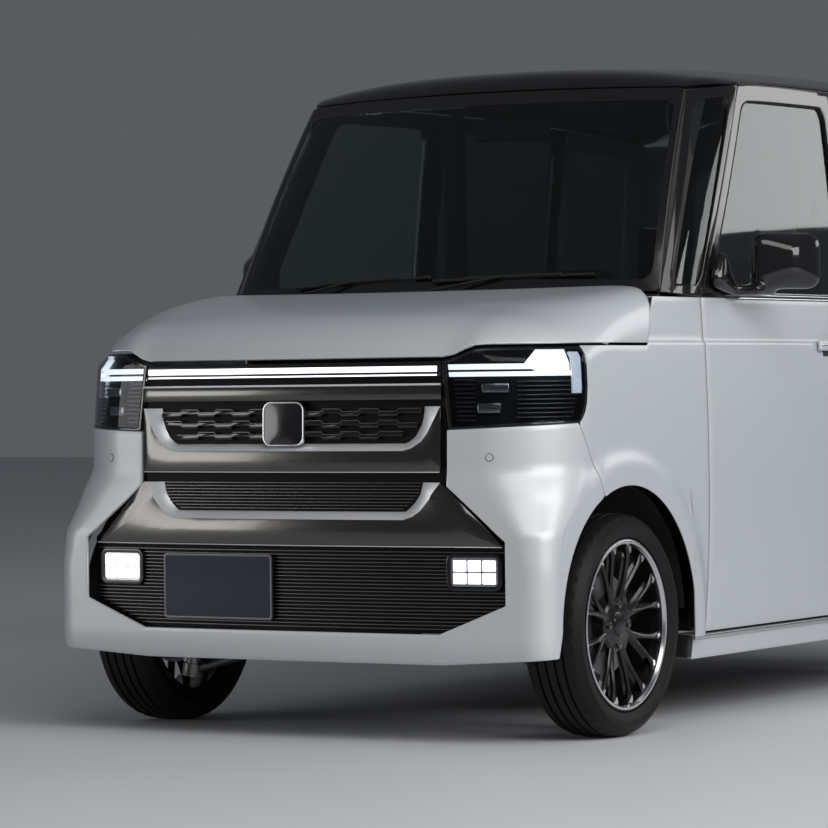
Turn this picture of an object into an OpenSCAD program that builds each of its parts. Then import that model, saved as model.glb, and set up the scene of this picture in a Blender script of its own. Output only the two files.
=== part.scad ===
// Tall one-box kei car: body panels, glass, lamps, running gear and cabin.
// X to the car's left, Y to the rear, Z up, ground at Z = 0, middle of the car at the origin.

/* [Overall] */
// Overall length
car_l = 3395; // [3250:5:3550]
// Width over the wheel arches
car_w = 1475; // [1420:5:1530]
// Height to the crown of the roof
car_h = 1790; // [1700:5:1880]
// Front axle to the nose
front_overhang = 455; // [435:5:480]
// Rear axle to the tail
rear_overhang = 420; // [400:5:445]
// Distance between the wheel centres of one axle
track = 1305; // [1270:5:1330]

/* [Wheels] */
// Radius of the tyre
tyre_r = 281; // [272:1:290]
// Width of the tyre
tyre_w = 165; // [150:1:180]
// Radius of the rim flange
rim_r = 216; // [205:1:222]
// Number of spokes
spokes = 16; // [8:1:20]
// Radius of the wheel arch opening
arch_r = 350; // [342:1:358]
// Stand-out of the wheel arch
flare_out = 9.5; // [4:0.5:14]

/* [Body lines] */
// Underside of the sill
sill_z = 168; // [150:1:185]
// Lower edge of the doors
door_z = 238; // [225:1:255]
// Widest height of the body side
waist_z = 620; // [560:5:680]
// Shoulder crease
crease_z = 985; // [950:1:1010]
// Belt line at the foot of the windows
belt_z = 1107; // [1080:1:1130]
// Roof crown above the window line
roof_rise = 98; // [85:1:110]
// Lean of the side windows to the roof
tumble = 58; // [45:1:70]

/* [Panels] */
// Gap round doors and lids
door_gap = 7; // [6:0.5:9]
// Gap between fixed panels
seam = 0.3; // [0.2:0.1:0.4]
// Thickness of a door
door_t = 75; // [60:1:85]
// Thickness of a window frame
frame_t = 32; // [26:1:38]
// Thickness of an outer panel
skin_t = 26; // [20:1:30]
// Thickness of the glass
glass_t = 5; // [4:0.5:6]
// Width of the front door
door_l = 900; // [860:1:930]
// Door edge behind the front wheel arch
door_set = 104; // [96:1:114]
// Rear door edge ahead of the rear wheel arch
slide_set = 35; // [20:1:50]

/* [Nose] */
// Front lower edge of the hood
hood_z = 958; // [945:1:970]
// Lower edge of the headlamps
lamp_z = 778; // [765:1:790]
// Lower edge of the front bumper
chin_z = 200; // [185:1:215]
// Half width of the grille
grille_x = 446; // [435:1:450]
// Half width of the lower air intake
intake_x = 625; // [605:1:635]
// Blank plate width and height
plate_w = 330; // [320:1:340]
plate_h = 165; // [155:1:175]

/* [Hidden] */
$fn = 32;
front_y = -car_l / 2;
rear_y = car_l / 2;
axle_f = front_y + front_overhang;
axle_r = rear_y - rear_overhang;
wheelbase = axle_r - axle_f;
half_w = car_w / 2 - flare_out;
rail_z = car_h - roof_rise;
sill_tuck = 25;
shoulder_tuck = 14;
crease_step = 6;
belt_half = half_w - shoulder_tuck - crease_step;
rail_half = belt_half - tumble;
flare_band = 48;
flare_w = 50;
tail_bow = 8.5;
tail_r = 110;
// Corner of the nose in plan: height, radius
nose_corners = [[430, 70], [520, 95], [600, 172], [676, 226], [790, 226], [950, 240], [crease_z, 335]];
// Bow of the nose in plan: height, angle at the corner
nose_bows = [[520, 3], [676, 8.5]];
tail_gate_z = 548;
gate_half = 590;
rail_y = 350;
crown_y = 700;
door_y = axle_f + arch_r + door_set;
door_end = door_y + door_l;
slide_y = door_end + door_gap;
slide_end = axle_r - arch_r - slide_set;
sash = 45;
handle_l = 185;
rake = 336;
lamp_y = axle_f - 232;
hood_end = axle_f + 128;
hinge_x = half_w - 22;
hinge_y = door_y + 50;
hinge_zs = [430, 880];
pin_r = 6;
run = 0.08;
pane_gap = 0.8;
hub_x = track / 2;
king_low = [hub_x - 57, 170];
king_top = [hub_x - 148, 820];
king_dir = unit([king_top[0] - king_low[0], 0, king_top[1] - king_low[1]]);

function clamp01(t) = min(1, max(0, t));
function ease(t) = let (c = clamp01(t)) c * c * (3 - 2 * c);
function mix(a, b, t) = a + (b - a) * t;
function unit(v) = v / norm(v);
function steps(a, b, n) = [for (i = [0:n]) a + (b - a) * i / n];

// A point of the steering axis at a height
function king(z) = [mix(king_low[0], king_top[0], (z - king_low[1]) / (king_top[1] - king_low[1])), axle_f, z];

// Body side: half width at a place along the car and a height
function arch_d(y, z, a) = norm([y - a, z - tyre_r]);
function bulge(y, z, a) = ease(1 - (arch_d(y, z, a) - arch_r - flare_band) / flare_w);
function flare(y, z) = max(bulge(y, z, axle_f), bulge(y, z, axle_r));
function tuck(z) = z < waist_z ? sill_tuck * pow((waist_z - z) / (waist_z - sill_z), 2)
  : shoulder_tuck * pow((z - waist_z) / (belt_z - waist_z), 2);
function lower_x(y, z) = let (f = flare(y, z))
  half_w - tuck(z) * (1 - f) - crease_step * ease((z - crease_z) / 14) + flare_out * f;
function upper_x(z) = let (t = (z - belt_z) / (rail_z - belt_z)) belt_half - tumble * t + 24 * t * (1 - t);
function side_x(y, z) = z <= belt_z ? lower_x(y, z) : upper_x(z);

// Roof: edge line over the windows, crown and height
function rail_at(y) = rail_z - (y < rail_y ? 20 * pow((y - rail_y) / 1000, 4) : 30 * pow((y - rail_y) / 1000, 2));
function crown(y) = car_h - 30 * pow((y - crown_y) / 1000, 2);
function roof_z(x, y) = let (e = rail_at(y) + door_gap)
  e + (crown(y) - e) * pow(max(0, 1 - pow(abs(x) / rail_half, 2.4)), 0.8);

// Ends of the car in plan: bowed face, round corner, side; e is -1 in front and 1 behind
function nose(z) = car_l / 2 - 3 - 9 * pow(clamp01((z - 600) / 380), 2) - 22 * pow(clamp01((270 - z) / 80), 2);
function tail(z) = z < tail_gate_z - 4 ? car_l / 2 - 12 * pow(clamp01((300 - z) / 80), 2)
  : car_l / 2 - 26 - 70 * pow((z - tail_gate_z + 4) / 1160, 1.6);
function corner_r(z, e) = e > 0 ? tail_r : lookup(z, nose_corners);
function bow_at(z, e) = e > 0 ? tail_bow : lookup(z, nose_bows);
function plan(z, e) = let (r = corner_r(z, e), b = bow_at(z, e), far = e < 0 ? nose(z) : tail(z),
  s = side_x(e * (far - 45 - r), z), sj = s - r * (1 - sin(b)), k = tan(b) / (2 * sj))
  [s - r, far - k * sj * sj - r * cos(b), r, sj, k, far, b];
function arc_len(c) = c[2] * (90 - c[6]) * PI / 180;
function on_face(s, c, e) = [s, e * (c[5] - c[4] * s * s)];
function on_arc(s, c, e) = let (a = c[6] + (s - c[3]) / c[2] * 180 / PI)
  [c[0] + c[2] * sin(a), e * (c[1] + c[2] * cos(a))];
function on_side(s, c, e, z) = let (y = e * (c[1] - (s - c[3] - arc_len(c)))) [side_x(y, z), y];
function outline(s, z, e) = let (c = plan(z, e)) s <= c[3] ? on_face(s, c, e)
  : s <= c[3] + arc_len(c) ? on_arc(s, c, e) : on_side(s, c, e, z);
function pt(s, z, e) = let (o = outline(abs(s), z, e)) [s < 0 ? -o[0] : o[0], o[1], z];
function s_at_x(x, z, e) = let (c = plan(z, e)) x <= c[3] ? x
  : c[3] + c[2] * (asin(min(1, (x - c[0]) / c[2])) - c[6]) * PI / 180;
function s_at_y(y, z, e) = let (c = plan(z, e), d = e * y) d < c[1] ? c[3] + arc_len(c) + c[1] - d
  : c[3] + c[2] * (acos(min(1, (d - c[1]) / c[2])) - c[6]) * PI / 180;
function arch_dy(z) = sqrt(max(1, arch_r * arch_r - pow(z - tyre_r, 2)));
function arch_z(y, a) = tyre_r + sqrt(max(0, arch_r * arch_r - pow(y - a, 2)));

// Panels: a grid of outer points, one of inner points, and a test for the cells that are filled
function at(g, i, j) = g[max(0, min(len(g) - 1, i))][max(0, min(len(g[0]) - 1, j))];
function normal_at(g, i, j) = unit(cross(at(g, i, j + 1) - at(g, i, j - 1), at(g, i + 1, j) - at(g, i - 1, j)));
function inset(g, t) = [for (i = [0:len(g) - 1]) [for (j = [0:len(g[0]) - 1]) g[i][j] - t * normal_at(g, i, j)]];
function level(v) = unit([v[0], v[1], 0]);
function inset_level(g, t) = [for (i = [0:len(g) - 1]) [for (j = [0:len(g[0]) - 1])
  g[i][j] - t * level(normal_at(g, i, j))]];
function moved(g, v) = [for (r = g) [for (p = r) p + v]];

module skin(p, q, keep = function (i, j) true) {
  n = len(p);
  m = len(p[0]);
  id = function (i, j, s) s * n * m + i * m + j;
  on = function (i, j) i >= 0 && j >= 0 && i < n - 1 && j < m - 1 && keep(i, j);
  cells = [for (i = [0:n - 2]) for (j = [0:m - 2]) if (on(i, j)) [i, j]];
  quad = function (a, b, c, d) [[a, b, c], [a, c, d]];
  wall = function (i, j, k, l) quad(id(k, l, 0), id(i, j, 0), id(i, j, 1), id(k, l, 1));
  faces = [for (c = cells) let (i = c[0], j = c[1]) each concat(
    quad(id(i, j, 0), id(i, j + 1, 0), id(i + 1, j + 1, 0), id(i + 1, j, 0)),
    quad(id(i + 1, j, 1), id(i + 1, j + 1, 1), id(i, j + 1, 1), id(i, j, 1)),
    on(i - 1, j) ? [] : wall(i, j, i, j + 1),
    on(i, j + 1) ? [] : wall(i, j + 1, i + 1, j + 1),
    on(i + 1, j) ? [] : wall(i + 1, j + 1, i + 1, j),
    on(i, j - 1) ? [] : wall(i + 1, j, i, j))];
  a = cells[0][0];
  b = cells[0][1];
  out = cross(p[a][b + 1] - p[a][b], p[a + 1][b] - p[a][b]) * (p[a][b] - q[a][b]);
  polyhedron([for (g = [p, q]) for (r = g) for (v = r) v],
    out > 0 ? [for (f = faces) [f[2], f[1], f[0]]] : faces, convexity = 10);
}

// A pane in a cut-out: cells i0 to i1 and j0 to j1 of a panel, at a share of its depth, clear of the frame
function pane_pt(p, q, i, j, c, d) = let (v = mix(p[i][j], q[i][j], d),
  a = i == c[0] ? p[i + 1][j] - p[i][j] : i == c[1] ? p[i - 1][j] - p[i][j] : [0, 0, 0],
  b = j == c[2] ? p[i][j + 1] - p[i][j] : j == c[3] ? p[i][j - 1] - p[i][j] : [0, 0, 0])
  v + (a == [0, 0, 0] ? a : pane_gap * unit(a)) + (b == [0, 0, 0] ? b : pane_gap * unit(b));
function pane_grid(p, q, c, d) = [for (i = [c[0]:c[1]]) [for (j = [c[2]:c[3]]) pane_pt(p, q, i, j, c, d)]];

module pane(p, q, c, d, t) skin(pane_grid(p, q, c, d / t), pane_grid(p, q, c, (d + glass_t) / t));

module both() {
  children();
  mirror([1, 0, 0]) children();
}

module box(x, y, z) translate([x[0], y[0], z[0]]) cube([x[1] - x[0], y[1] - y[0], z[1] - z[0]]);

module tube_x(x0, x1, y, z, r) translate([x0, y, z]) rotate([0, 90, 0]) cylinder(h = x1 - x0, r = r);

module rod(a, b, r) translate(a) rotate([0, acos((b - a)[2] / norm(b - a)), atan2((b - a)[1], (b - a)[0])])
  cylinder(h = norm(b - a), r = r);

// Sides
cabin_in = half_w - door_t - 26;
floor_half = cabin_in - 18;
post_w = 60;

module floor_pan() color("dimgray") {
  box([-floor_half, floor_half], [axle_f + 400, axle_r - 380], [255, 290]);
  box([-480, 480], [axle_r - 390, rear_y - 110], [400, 440]);
  box([-floor_half, floor_half], [axle_r - 400, axle_r - 360], [255, 440]);
  box([-floor_half, floor_half], [axle_f + 400, axle_f + 425], [255, 1060]);
  both() {
    box([470, 500], [axle_r - 370, rear_y - 175], [400, 720]);
    box([470, side_x(axle_r, 700) - skin_t - 12], [axle_r - 370, rear_y - 215], [700, 730]);
    box([floor_half - post_w, floor_half], [axle_f + 410, axle_f + 480], [255, 1085]);
    for (z = hinge_zs) {
      box([floor_half - 10, hinge_x - 2], [hinge_y - 10, hinge_y + 10], [z - 11, z + 11]);
      translate([hinge_x, hinge_y, z - 45]) cylinder(h = 90, r = pin_r);
    }
    box([floor_half - post_w, floor_half], [axle_f + 470, hinge_y + 12], [hinge_zs[0] - 20, hinge_zs[1] + 20]);
  }
}

module front_frame() color("black") {
  both() {
    box([310, 370], [front_y + 110, axle_f + 400 - seam], [470, 560]);
    box([330, king_top[0] + 70], [axle_f - 75, axle_f + 75], [king_top[1] + 14, king_top[1] + 28]);
    box([330, 350], [axle_f - 75, axle_f + 75], [550, king_top[1] + 20]);
    rod(king(king_top[1]) + seam * king_dir, king(king_top[1]) + 20 * king_dir, 60);
  }
  box([-540, 540], [face(540, 515, panel_d[1] + 2 * seam)[1], front_y + 112], [470, 560]);
  box([-330, 330], [front_y + 75, front_y + 112], [270, 480]);
}

// Windscreen and the pillar beside it: feet and heads on one side
foot_a = [656, axle_f + 324, belt_z + 14];
foot_b = [belt_half, door_y, belt_z + seam];
head_a = [rail_half - 64, axle_f + 620, 0];
head_b = [upper_x(rail_at(door_y + rake)), door_y + rake, 0];

function head(p) = [p[0], p[1], roof_edge(p[0]) - 10];
function quarter(a, b) = mix(mix(foot_a, foot_b, a), mix(head(head_a), [head_b[0], head_b[1], rail_at(head_b[1])], a), b)
  + 10 * (4 * b * (1 - b)) * [0.8, -0.5, 0.2] + mix(28, 10, b) * (4 * a * (1 - a)) * [0.8, -0.5, 0];
function quarter_in(a, b, t) = quarter(a, b) + t * unit(mix([-0.45, 0.8, -0.4], [-1, 0, 0], a));
qa = [0, 0.22, 0.42, 0.62, 0.8, 1];
qb = [0, 0.04, 0.2, 0.4, 0.6, 0.8, 0.93, 1];

module pillars() color("black") {
  both() {
    skin([for (b = qb) [for (a = qa) quarter(a, b)]], [for (b = qb) [for (a = qa) quarter_in(a, b, 30)]],
      function (i, j) i < 1 || i > 5 || j < 1 || j > 3);
    box([cabin_in - 60, cabin_in - 8], [door_end - 25, door_end + 45], [290 + seam, rail_z - 8]);
  }
}

xs = [0, 0.18, 0.36, 0.52, 0.68, 0.8, 0.9, 0.96, 0.99, 1];
function both_ways(l) = concat([for (i = [len(l) - 1:-1:1]) -l[i]], l);
function roof_front(x) = let (a = abs(x)) a < head_a[0] ? axle_f + 545 + 75 * pow(a / head_a[0], 2)
  : mix(head_a[1], head_b[1], (a - head_a[0]) / (rail_half - head_a[0]));
function roof_edge(x) = let (a = abs(x) / head_a[0]) a < 1 ? rail_z - 11 - 8 * a * a
  : mix(rail_z - 19, rail_at(head_b[1]) + door_gap, clamp01((abs(x) - head_a[0]) / (rail_half - head_a[0])));
function roof_top(x, y) = mix(roof_z(x, y), roof_edge(x), exp(-max(0, y - roof_front(x)) / 30));
function roof_back(x) = pt(s_at_x(abs(x), rail_z, 1), rail_z, 1)[1] - frame_t - door_gap;
roof_p = [for (v = [0, 0.012, 0.03, 0.06, 0.1, 0.22, 0.36, 0.52, 0.68, 0.84, 0.95, 1]) [for (u = both_ways(xs))
  let (x = u * rail_half, y = mix(roof_front(x), roof_back(x), v)) [x, y, roof_top(x, y)]]];
roof_q = [for (r = roof_p) [for (p = r) [p[0] * (rail_half - 45) / rail_half, p[1],
  p[1] < head_b[1] ? p[2] - 8 : max(rail_at(p[1]) + door_gap, p[2] - 30)]]];

gate_pin = [roof_back(300) + door_gap / 2, roof_z(0, roof_back(0)) + 1.5];

module roof_panel() color("black") {
  difference() {
    skin(roof_p, roof_q);
    for (x = [-300, 300]) for (w = [-46, 13]) box([x + w, x + w + 33], [gate_pin[0] - 13, gate_pin[0] + 9], [gate_pin[1] - 40, gate_pin[1] + 20]);
  }
  for (x = [-300, 300]) {
    box([x - 12, x + 12], [gate_pin[0] - 30, gate_pin[0] - 3], [gate_pin[1] - 22, gate_pin[1] + 4]);
    tube_x(x - 12, x + 12, gate_pin[0], gate_pin[1], 7);
    tube_x(x - 40, x + 40, gate_pin[0], gate_pin[1], 3.5);
  }
}

// Front fender: from the arch and the bumper seam up to the crease, with the piece behind the hood
seam_y = axle_f - 128;
seam_z = arch_z(seam_y, axle_f);
function fender_low(y) = y < seam_y ? mix(seam_z, lamp_z + 13, (seam_y - y) / (seam_y - lamp_y))
  : arch_z(y, axle_f);
function fender_x(y, z) = pt(s_at_y(y, z, -1), z, -1)[0];
fender_ys = concat([lamp_y + 6, axle_f - 180], [for (a = [112, 90, 70, 50, 32, 16]) axle_f + arch_r * cos(a)],
  [axle_f + arch_r + 4, door_y - 45, door_y - 20, door_y - door_gap]);
function fender_foot(y) = y > axle_f + arch_r * 0.98 ? door_z - 8 + seam : fender_low(y) + seam;
function fender_zs(y) = concat([for (t = [0, 0.15, 0.3, 0.6, 1]) mix(fender_foot(y), crease_z - door_gap / 2, t)],
  [crease_z + 14, belt_z - 40, belt_z]);
function fender_y(y, z) = z > crease_z && y < door_y - 50 ? max(y, hood_side(z)) : y;
fender_p = [for (y = fender_ys) [for (z = fender_zs(y)) [fender_x(fender_y(y, z), z), fender_y(y, z), z]]];
fender_q = [for (r = fender_p) [for (p = r) p - [p[1] > door_y - 50 ? 4 : skin_t, 0, 0]]];

module front_fenders() color("gainsboro") both()
  skin(fender_p, fender_q, function (i, j) j < 4 || fender_ys[i] > hood_end);

// Doors and side windows on one grid: columns between two edges, rows from sill to roof
function edge_y(y0, lean, z) = z <= belt_z ? y0 : y0 + lean * (z - belt_z) / (rail_at(y0 + lean) - belt_z);
function door_cols(y0, y1, lean, z) = let (a = edge_y(y0, lean, z))
  concat([a, a + sash], [for (t = [0.25, 0.5, 0.75]) mix(a + sash, y1 - sash, t)], [y1 - sash, y1]);
function door_rows() = [door_z, 330, 415, 520, waist_z, 800, crease_z - 8, crease_z + 2, crease_z + 14, belt_z, belt_z + 16];
function win_top(y) = rail_at(y) - 46;
function door_grid(y0, y1, lean, off) = concat(
  [for (z = door_rows()) [for (y = door_cols(y0, y1, lean, z)) [side_x(y, z) - off(z), y, z]]],
  [for (t = [0.35, 0.7, 1, 2]) [for (k = [0:6]) let (yt = door_cols(y0, y1, lean, rail_at(y0 + lean))[k],
    z0 = belt_z + 16, z = t > 1 ? rail_at(yt) : mix(z0, win_top(yt), t), y = door_cols(y0, y1, lean, z)[k])
    [side_x(y, z) - off(z), y, z]]]);

module door_shell(y0, y1, lean) skin(door_grid(y0, y1, lean, function (z) 0),
  door_grid(y0, y1, lean, function (z) z > belt_z ? frame_t : door_t),
  function (i, j) !(i >= 10 && i <= 12 && j >= 1 && j <= 4));

module handle(y0) translate([side_x(0, crease_z) - 6, y0, crease_z - 17])
  cube([half_w + 8 - side_x(0, crease_z) + 6, handle_l, 30]);

module door_pane(y0, y1, lean) pane(door_grid(y0, y1, lean, function (z) 0),
  door_grid(y0, y1, lean, function (z) frame_t), [10, 13, 1, 5], 8, frame_t);

module front_door() difference() {
  union() {
    door_shell(door_y, door_end, rake);
    handle(door_end - handle_l - 55);
  }
  for (z = hinge_zs) {
    box([hinge_x - 120, hinge_x + 12], [door_y - 5, hinge_y + 16], [z - 17, z + 17]);
    translate([hinge_x, hinge_y, z - 52]) cylinder(h = 104, r = pin_r + run);
  }
}

module front_door_left() color("gainsboro") front_door();

module front_door_right() color("gainsboro") mirror([1, 0, 0]) front_door();

module door_glass_left() color("lightblue") door_pane(door_y, door_end, rake);

module door_glass_right() color("lightblue") mirror([1, 0, 0]) door_pane(door_y, door_end, rake);

module sliding_doors() color("gainsboro") both() {
  door_shell(slide_y, slide_end, 0);
  handle(slide_y + 55);
}

module side_sills() color("gainsboro") both() {
  ys = steps(axle_f + arch_r + 12, axle_r - arch_r * 0.98, 8);
  p = [for (y = ys) [for (z = [sill_z, 190, 215, door_z - 8]) [side_x(max(axle_f + arch_r + 90, min(axle_r - arch_r - 90, y)), z) - 2, y, z]]];
  skin(p, [for (r = p) [for (v = r) [cabin_in + 0.2, v[1], v[2]]]]);
}

// Rear quarter: round the rear corner to the tailgate, with window and lamp cut out
arch_end = min(arch_r * cos(52), plan(tail_gate_z, 1)[1] - 30 - axle_r);
quarter_ys = concat([slide_end + seam], [for (a = [172, 155, 135, 112, 90]) axle_r + arch_r * cos(a)],
  [axle_r + 0.555 * arch_end, axle_r + arch_end]);
function quarter_y(k, z) = let (y = quarter_ys[k]) y < axle_r || z < tail_gate_z ? y
  : axle_r + (y - axle_r) * (plan(z, 1)[1] - 12 - axle_r) / (plan(tail_gate_z, 1)[1] - 12 - axle_r);
function quarter_low(y) = y > axle_r + arch_end + 1 ? tail_gate_z - 4 : arch_z(y, axle_r);
function quarter_rows(y0) = concat([for (t = [0, 0.35, 0.7]) mix(y0, 780, t)],
  [780, crease_z - 8, crease_z + 14, belt_z, belt_z + 30, mix(belt_z + 30, rail_z - 120, 0.58)],
  [rail_z - 120, rail_z - 60]);
function rear_cols(z) = let (c = plan(z, 1)) [for (t = [0, 0.3, 0.6, 0.9, 1]) mix(c[3] + arc_len(c), gate_half + door_gap, t)];
function quarter_pt(k, r) = let (n = len(quarter_ys), y0 = k < n ? quarter_ys[k] : axle_r + 300,
  rows = quarter_rows(k == 0 ? door_z : quarter_low(y0)), top = k < n ? rail_at(quarter_y(k, rail_z)) : rail_at(axle_r + 190),
  z = r < len(rows) ? rows[r] : top + door_gap - 1.5, y = k < n ? quarter_y(k, z) : 0)
  k < n ? [side_x(y, z), y, z] : pt(rear_cols(z)[k - n], z, 1);
rq_n = len(quarter_ys) + 4;
rq_p = [for (k = [0:rq_n]) [for (r = [0:11]) quarter_pt(k, r)]];
rq_i = inset_level(rq_p, -skin_t);
rq_q = [for (k = [0:rq_n]) [for (r = [0:11]) k >= rq_n - 1 ? rq_p[k][r] - [0, skin_t, 0]
  : k == 0 ? rq_p[k][r] - [skin_t, 0, 0] : rq_i[k][r]]];

function lamp_cell(i, j) = i >= 8 && j >= 3 && j <= 7;
function quarter_cell(i, j) = i >= 2 && i <= 5 && j >= 7 && j <= 9;

module rear_quarters() color("gainsboro") both()
  skin(rq_p, rq_q, function (i, j) !lamp_cell(i, j) && !quarter_cell(i, j));

module tail_lamps() color("red") both() skin(pane_grid(rq_p, rq_q, [8, rq_n, 3, 8], 0),
  pane_grid(rq_p, rq_q, [8, rq_n, 3, 8], 1));

module side_windows() color("lightblue") {
  both() {
    pane(rq_p, rq_q, [2, 6, 7, 10], 6, skin_t);
    door_pane(slide_y, slide_end, 0);
    pane([for (b = qb) [for (a = qa) quarter(a, b)]], [for (b = qb) [for (a = qa) quarter_in(a, b, 30)]], [1, 6, 1, 4], 5, 30);
  }
}

// Cowl at the foot of the windscreen
function hood_back(x) = let (a = abs(x) / half_w) axle_f + 152 + 55 * a * a;
function cowl_p(u, v) = let (x = u * 640, y0 = hood_back(x) + door_gap, c = min(1, abs(u)),
  y1 = axle_f + 228 + 94 * c * c - 800 * max(0, abs(u) - 1))
  [x, mix(y0, y1 + 4, v), mix(1086 - 20 * u * u, belt_z + 20 - 10 * u * u, v)];

module cowl() color("black") {
  p = [for (v = [0, 0.5, 1]) [for (u = concat([-1.05], steps(-1, 1, 12), [1.05])) cowl_p(u, v)]];
  skin(p, moved(p, [0, 0, -14]));
  box([-590, 590], [axle_f + 190, axle_f + 400 - seam], [1030, 1046]);
  for (x = [-400, 0, 400]) box([x - 15, x + 15], [axle_f + 200, axle_f + 212], [1040, 1084]);
  both() {
    box([572, 584], [hood_pin[0] - 12, hood_pin[0] + 12], [1030, hood_pin[1] + 10]);
    tube_x(548, 580, hood_pin[0], hood_pin[1], 5);
  }
}

// Hood: columns at set widths from the front edge to the cowl
hood_xs = [0, 0.2, 0.4, 0.56, 0.68, 0.78, 0.86, 0.92, 0.965, 0.99, 1];
hood_pin = [axle_f + 200, belt_z - 7];
function hood_edge(x) = mix(hood_z, crease_z + door_gap / 2, ease((abs(x) - 440) / 90));
hood_c = plan(crease_z, -1);
function hood_front(x) = pt(s_at_x(min(abs(x), hood_c[0] + hood_c[2]), crease_z, -1), crease_z, -1)[1];
function hood_side(z) = hood_end + door_gap + 50 * clamp01((z - crease_z) / (belt_z - crease_z));
function hood_rear(x) = let (a = abs(x), k = hood_side(mix(belt_z, crease_z, clamp01((a - 688) / 34))) - door_gap)
  a > 688 ? k : a > 655 ? mix(hood_back(655), hood_side(belt_z) - door_gap, (a - 655) / 33) : hood_back(x);
function hood_top(y) = mix(1040, belt_z + 30, pow(clamp01((y - front_y) / 640), 0.8));
function hood_pow(y) = mix(5, 14, ease((y - lamp_y) / 400));
hood_half = half_w - 6;
hood_t = 20;
function hood_height(x, y) = let (e = hood_edge(x), u = min(1, abs(x) / hood_half))
  e + (hood_top(y) - e) * sqrt(max(0, 1 - pow(u, hood_pow(y)))) * (1 - exp(-max(0, y - hood_front(x)) / 55));
function hood_pt(x, v) = let (y = mix(hood_front(x), hood_rear(x), v)) [x, y, hood_height(x, y)];
function hood_inner(x, v) = let (y = mix(hood_front(x) + hood_t, hood_rear(x) - hood_t, v),
  xi = x * (hood_half - hood_t) / hood_half) [xi, y, max(hood_edge(x), hood_height(xi, y) - hood_t)];
hood_vs = [0, 0.02, 0.05, 0.1, 0.17, 0.27, 0.4, 0.55, 0.72, 0.87, 1];
hood_p = [for (v = hood_vs) [for (u = both_ways(hood_xs)) hood_pt(u * hood_half, v)]];
hood_q = [for (v = hood_vs) [for (u = both_ways(hood_xs)) hood_inner(u * hood_half, v)]];

module hood() color("gainsboro") difference() {
  union() {
    skin(hood_p, hood_q);
    both() {
      box([553, 565], [axle_f + 110, axle_f + 176], [hood_pin[1] - 12, hood_pin[1] + 20]);
      box([553, 565], [axle_f + 150, hood_pin[0] + 12], [hood_pin[1] - 12, hood_pin[1] + 12]);
    }
  }
  both() tube_x(540, 568, hood_pin[0], hood_pin[1], 5 + run);
}

// Front bumper: wrapped round the corners to the arches, open for the grille and the intake
bumper_t = 60;
bumper_zs = [chin_z, 238, 277, 350, 430, 505, 560, seam_z, 640, lamp_z];
// Half width of the opening: height, half width
open_rows = [[277, 440], [350, intake_x], [505, intake_x], [640, 456]];
function bumper_end(z) = z > seam_z ? s_at_y(mix(seam_y, lamp_y, (z - seam_z) / (lamp_z + 13 - seam_z)), z, -1)
  : s_at_y(axle_f - (z > tyre_r ? arch_dy(z) : arch_r + (tyre_r - z) * 0.3), z, -1);
function bumper_z(r, f) = bumper_zs[r] + (r == 0 ? 20 * f : r == 9 ? 13 * f : 0);
bumper_fs = [0, 0.34, 0.67, 1, 1.2, 1.4, 1.55, 1.7, 1.85, 2];
bumper_p = [for (r = [0:9]) [for (f = both_ways(bumper_fs))
  let (g = max(0, abs(f) - 1), z = bumper_z(r, g), w = lookup(bumper_zs[r], open_rows))
  pt(sign(f) * (abs(f) <= 1 ? abs(f) * w : mix(w, bumper_end(z), g)), z, -1)]];
bumper_i = inset_level(bumper_p, bumper_t);
bumper_n = len(bumper_p[0]) - 1;
bumper_q = [for (r = [0:9]) [for (j = [0:bumper_n]) let (p = bumper_p[r][j])
  j == 0 || j == bumper_n ? p - sign(p[0]) * [bumper_t, 0, 0]
  : j > 4 && j < bumper_n - 4 ? p + [0, bumper_t, 0] : bumper_i[r][j]]];

module front_bumper() color("gainsboro") skin(bumper_p, bumper_q, function (i, j) i < 2 || j < 6 || j > 11);

module rear_bumper() color("gainsboro") {
  p = [for (z = [228, 250, 281, 340, 420, 490, tail_gate_z - 4 - seam])
    [for (f = both_ways([0, 0.25, 0.5, 0.65, 0.75, 0.85, 1])) pt(f * s_at_y(axle_r + arch_dy(z), z, 1), z, 1)]];
  skin(p, inset_level(p, -40));
}

// Tailgate on the rear face, with the window cut out
function gate_top(x) = roof_z(x, rear_y - 95);
function gate_pt(x, t) = let (z = t < 1 ? mix(tail_gate_z + door_gap - 4, belt_z + 20, t) : t < 2 ? mix(belt_z + 20, rail_z - 90, t - 1) : mix(rail_z - 90, gate_top(x), t - 2))
  [x, pt(abs(x), min(z, rail_z), 1)[1] + (t > 2.9 ? door_gap / 2 - 2 : 0), z];
gate_ts = [0, 0.25, 0.5, 0.75, 1, 1.33, 1.67, 2, 2.5, 3];
gate_us = [0, 0.3, 0.6, 0.87, 1];
gate_p = [for (t = gate_ts) [for (u = both_ways(gate_us)) gate_pt(u * gate_half, t)]];
gate_q = [for (i = [0:9]) [for (p = gate_p[i]) p - [0, gate_ts[i] > 1 ? frame_t : 60, 0]]];

module tailgate() color("gainsboro") difference() {
  union() {
    skin(gate_p, gate_q, function (i, j) !(i >= 4 && i <= 6 && j >= 1 && j <= 6));
    for (x = [-300, 300]) for (w = [-39, 18]) {
      box([x + w, x + w + 21], [gate_pin[0], gate_pin[0] + 26], [gate_pin[1] - 26, gate_pin[1] + 6]);
      tube_x(x + w, x + w + 21, gate_pin[0], gate_pin[1], 7);
    }
  }
  for (x = [-300, 300]) {
    tube_x(x - 45, x + 45, gate_pin[0], gate_pin[1], 3.5 + run);
    box([x - 17, x + 17], [gate_pin[0] - 10, gate_pin[0] + 13], [gate_pin[1] - 14, gate_pin[1] + 20]);
  }
}

module tailgate_glass() color("lightblue") {
  pane(gate_p, gate_q, [4, 7, 1, 7], 6, frame_t);
}

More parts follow.
